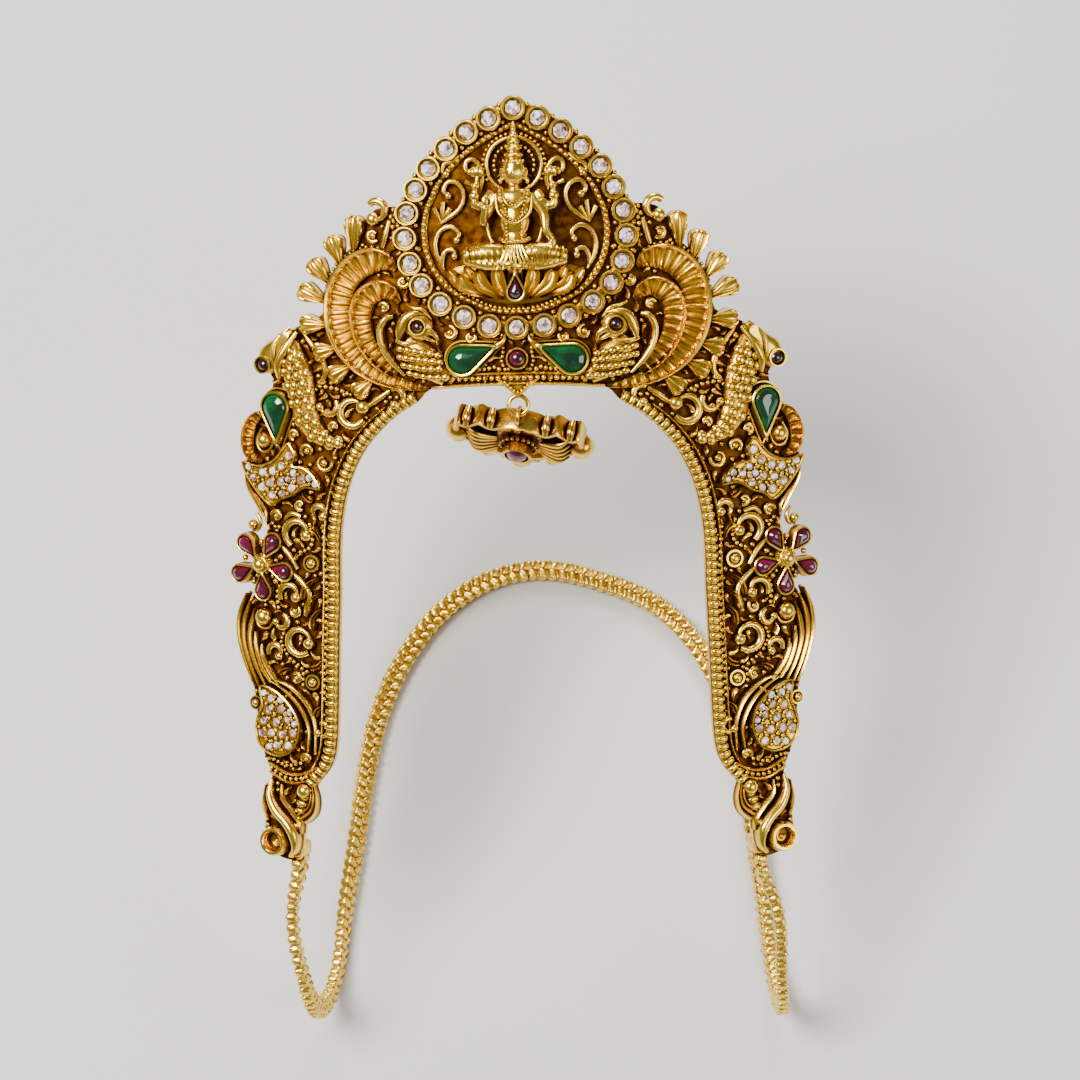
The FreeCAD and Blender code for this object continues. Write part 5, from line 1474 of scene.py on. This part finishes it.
def pendant():
    look = pendantLook
    half, thick, drop, hang = look["width"] / 2, look["thick"], look["drop"], look["hang"]
    metal = Metal()
    crests = [(-0.93, 0.02), (-0.6, 0.1), (-0.26, 0.06), (0.26, 0.06), (0.6, 0.1), (0.93, 0.02)]
    valleys = [-0.79, -0.42, 0.0, 0.42, 0.79]
    heights = [-0.06, -0.02, 0.12, -0.02, -0.06]
    top = []
    for k, (x, z) in enumerate(crests):
        top.append((x * half, z * drop - 1.0 - hang))
        if k < len(valleys):
            top.append((valleys[k] * half, heights[k] * drop - 1.0 - hang))
    low = [(1, 0.35), (0.86, 0.58), (0.5, 0.84), (0, 1), (-0.5, 0.84), (-0.86, 0.58), (-1, 0.35)]
    outline = smooth(top + [(x * half, -drop * z - hang) for x, z in low], 4, True)
    front = -thick / 2
    rings = []
    for inset, y in ((0.5, -front), (0.12, -front - 0.05), (0, -front - 0.4), (0, front + 0.4),
                     (0.12, front + 0.08), (0.45, front), (0.8, front + 0.12), (0.95, front + 0.5)):
        rings.append([(x, y, z) for x, z in movedIn(outline, inset)])
    metal.loft(rings)
    for x, z in [(-0.79, -0.6), (-0.42, -0.2), (0.0, -0.3), (0.42, -0.2), (0.79, -0.6)]:
        metal.tube([(x * half, front + 0.1, z - hang - 0.9), (x * half, -0.4, z - hang - 0.15),
                    (x * half, -front - 0.3, z - hang - 0.5)], [0.42, 0.6, 0.42], 10)
    for x, z, scale in ((-0.94, -0.5, 1.0), (-0.5, -0.84, 0.95), (0.0, -1.04, 1.0),
                        (0.5, -0.84, 0.95), (0.94, -0.5, 1.0)):
        metal.ball(x * half, -0.4, z * drop - hang, look["ball"] * scale, 18)
    for x, z in ((-0.72, -0.7), (-0.25, -0.97), (0.25, -0.97), (0.72, -0.7)):
        metal.ball(x * half, -1.1, z * drop - hang, 0.5, 10)
    for c, s in ((1, 1), (-1, 1), (-1, -1), (1, -1)):
        aside = 0.4 * math.sqrt(0.5)
        metal.ball(0.5 * half + aside * c, -0.4 + aside * s, -10.6 - hang, 0.42, 10)
    metal.tube([(0, 1.15 * c, 1.15 * s - 0.42) for c, s in circle(16)], 0.28, 10, 2, True)
    stoneZ = -drop * 0.52 - hang
    metal.loft([[(radius * c, front + y, stoneZ + radius * s) for c, s in circle(24)]
                for radius, y in ((1.9, 0.5), (1.92, -0.9), (1.98, -1.6), (1.85, -1.7),
                                  (1.62, -1.65), (1.55, -1.4), (1.53, -0.9), (0.8, -0.88))])
    for c, s in circle(20):
        metal.ball(2.35 * c, front - 0.1, stoneZ + 2.35 * s, look["cupBall"], 8)
    for sign in (-1, 1):
        for k in range(5):
            angle = math.radians(-60 + 30 * k)
            reach = 4.6 + 0.4 * math.cos(angle)
            metal.tube([(sign * 2.9, front + 0.1, stoneZ + 0.7 * (k - 2)),
                        (sign * (2.9 + reach * 0.5), front - 0.35, stoneZ + 0.3 + 1.15 * (k - 2)),
                        (sign * (1.9 + reach), front + 0.15, stoneZ + 0.9 + 1.2 * (k - 2))],
                       [0.2, 0.45, 0.15], 8)
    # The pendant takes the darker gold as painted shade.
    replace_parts(metal.piece("pendant_metal", shadedDropGold, "dark_gold", "pendant", pendantPlace),
                "pendant_body")


pendant()
print("pendant made")


# Ground left between the forms: curls where it is wide, leaves and then beads where it narrows

groundLook = {"grid": 0.3, "curl": 0.95, "leaf": 0.55, "bead": 0.4, "most": 600}  # mm of room


def groundFiller():
    half = smooth(outerEdge + innerEdge, 2)
    medallion = np.array([(u * 0.9, medallionV + (v - medallionV) * 0.92) for u, v in haloPath])
    grid = groundLook["grid"]
    spots = np.array([(u, v) for v in np.arange(-50.5, 48, grid) for u in np.arange(0.6, 40, grid)])
    spots = spots[inside(spots, half) & ~inside(spots, medallion)]
    edge = np.array(spaced(half, grid))[:, :2]
    rim = np.array(spaced(smooth(rimPath(), 6), grid))[:, :2]
    taken = np.vstack([np.array(filled), edge, rim, rim + (0.6, 0), rim - (0.6, 0)])
    room = np.full(len(spots), 1e9)
    for chunk in np.array_split(taken, max(1, len(taken) // 400)):
        far = np.linalg.norm(spots[:, None] - chunk[None], axis=2).min(axis=1)
        room = np.minimum(room, far)
    metal = Metal()
    turn = 40
    for step in range(groundLook["most"]):
        k = int(room.argmax())
        clear = room[k]
        if clear < groundLook["bead"]:
            break
        u, v = spots[k]
        turn = (turn + 137) % 360
        if clear > groundLook["curl"]:
            reach = min(clear * 0.66, 1.1)
            curl(metal, u, v, reach, 0.3, turn, 275, 0.0, 0.4, 0.35)
            metal.ball(u, v, 0.55, min(0.5, reach * 0.5))
            used = reach + 0.35
        elif clear > groundLook["leaf"]:
            used = clear * 0.9
            du, dv = math.cos(math.radians(turn)) * clear, math.sin(math.radians(turn)) * clear
            leafBlade(metal, (u - du, v - dv), (u + du, v + dv), clear * 0.55, 1.1, 0.2, 1)
        else:
            used = clear * 0.85
            beads.extend(bothSpots(u, v, 0.22, 0, (used, used, used)))
        room = np.minimum(room, np.linalg.norm(spots - spots[k], axis=1) - used)
    metal.mirrored()
    metal.piece("ground_curls", castGold)


groundFiller()
repeat("plate_beads", beadUnit, beads, stampGold)
stoneUnit = roundUnit("stoneUnit", [(1.0, -0.6), (1.0, 0.35), (0.6, 0.95)], 8)
repeat("small_stones", stoneUnit, smallStones, brilliant)
print("ground filled")


# Stones keep their own meshes and get a glass each

slotGlass = {"green_glass": emerald, "ruby_glass": ruby, "garnet_glass": garnet,
             "white_stone": brilliant}
for part in frame["record"]["subparts"]:
    glass = slotGlass.get(part["material_slot"])
    if glass is not None:
        stone = frame["nodes"][part["node"]]
        stone.data.materials.clear()
        stone.data.materials.append(glass)


# Floor, light and camera

stageLook = {"floor": "#D2D0CC", "floorHalf": 3, "sky": 0.22, "skyTint": (0.95, 0.97, 1.0, 1)}
lightLook = {  # place in metres, watts, metres across
    "key": ((-0.25, -0.05, 0.55), 6.6, 0.3), "fill": ((0.45, -0.25, 0.4), 1.8, 0.4),
    "rim": ((0.05, 0.5, 0.35), 3.3, 0.3),
}


def stage():
    mesh = bpy.data.meshes.new("floor")
    reach = stageLook["floorHalf"]
    mesh.from_pydata([(x * reach, y * reach, 0) for x, y in ((-1, -1), (1, -1), (1, 1), (-1, 1))],
                     [], [(0, 1, 2, 3)])
    values = {"Base Color": colour(stageLook["floor"]), "Roughness": 0.8}
    mesh.materials.append(newMaterial("paleFloor", values)[0])  # matte, a little darker than paper
    linked("floor", mesh)
    for name, (place, power, across) in lightLook.items():
        light = bpy.data.lights.new(name, "AREA")
        light.energy = power
        light.shape = "DISK"
        light.size = across
        lamp = linked(name, light)
        lamp.location = place
        lamp.rotation_mode = "QUATERNION"
        lamp.rotation_quaternion = (Vector((0, 0, 0.05)) - Vector(place)).to_track_quat("-Z", "Y")
    world = bpy.data.worlds.new("studio")
    world.use_nodes = True
    sky = world.node_tree.nodes["Background"].inputs
    sky["Color"].default_value = stageLook["skyTint"]
    sky["Strength"].default_value = stageLook["sky"]
    bpy.context.scene.world = world


stage()

cameraLook = {"lens": 128.2, "turn": (7, -2.157, 0.714), "place": (21.36, -195.288, 517.80)}
cameraData = bpy.data.cameras.new("photoView")
cameraData.sensor_width = 36
cameraData.lens = cameraLook["lens"]
cameraData.clip_start, cameraData.clip_end = 0.05, 5
camera = linked("photoView", cameraData)
bpy.context.scene.camera = camera
upright, level = math.cos(lean), math.sin(lean)
worldFromPlate = Matrix(((1, 0, 0), (0, upright, -level), (0, level, upright)))
aboutX, aboutY, aboutZ = (Matrix.Rotation(math.radians(angle), 3, axis)
                          for angle, axis in zip(cameraLook["turn"], "XYZ"))
view = (worldFromPlate @ (aboutZ @ aboutY @ aboutX).transposed()).to_4x4()
view.translation = Vector(cameraLook["place"]) * mm
camera.matrix_world = view
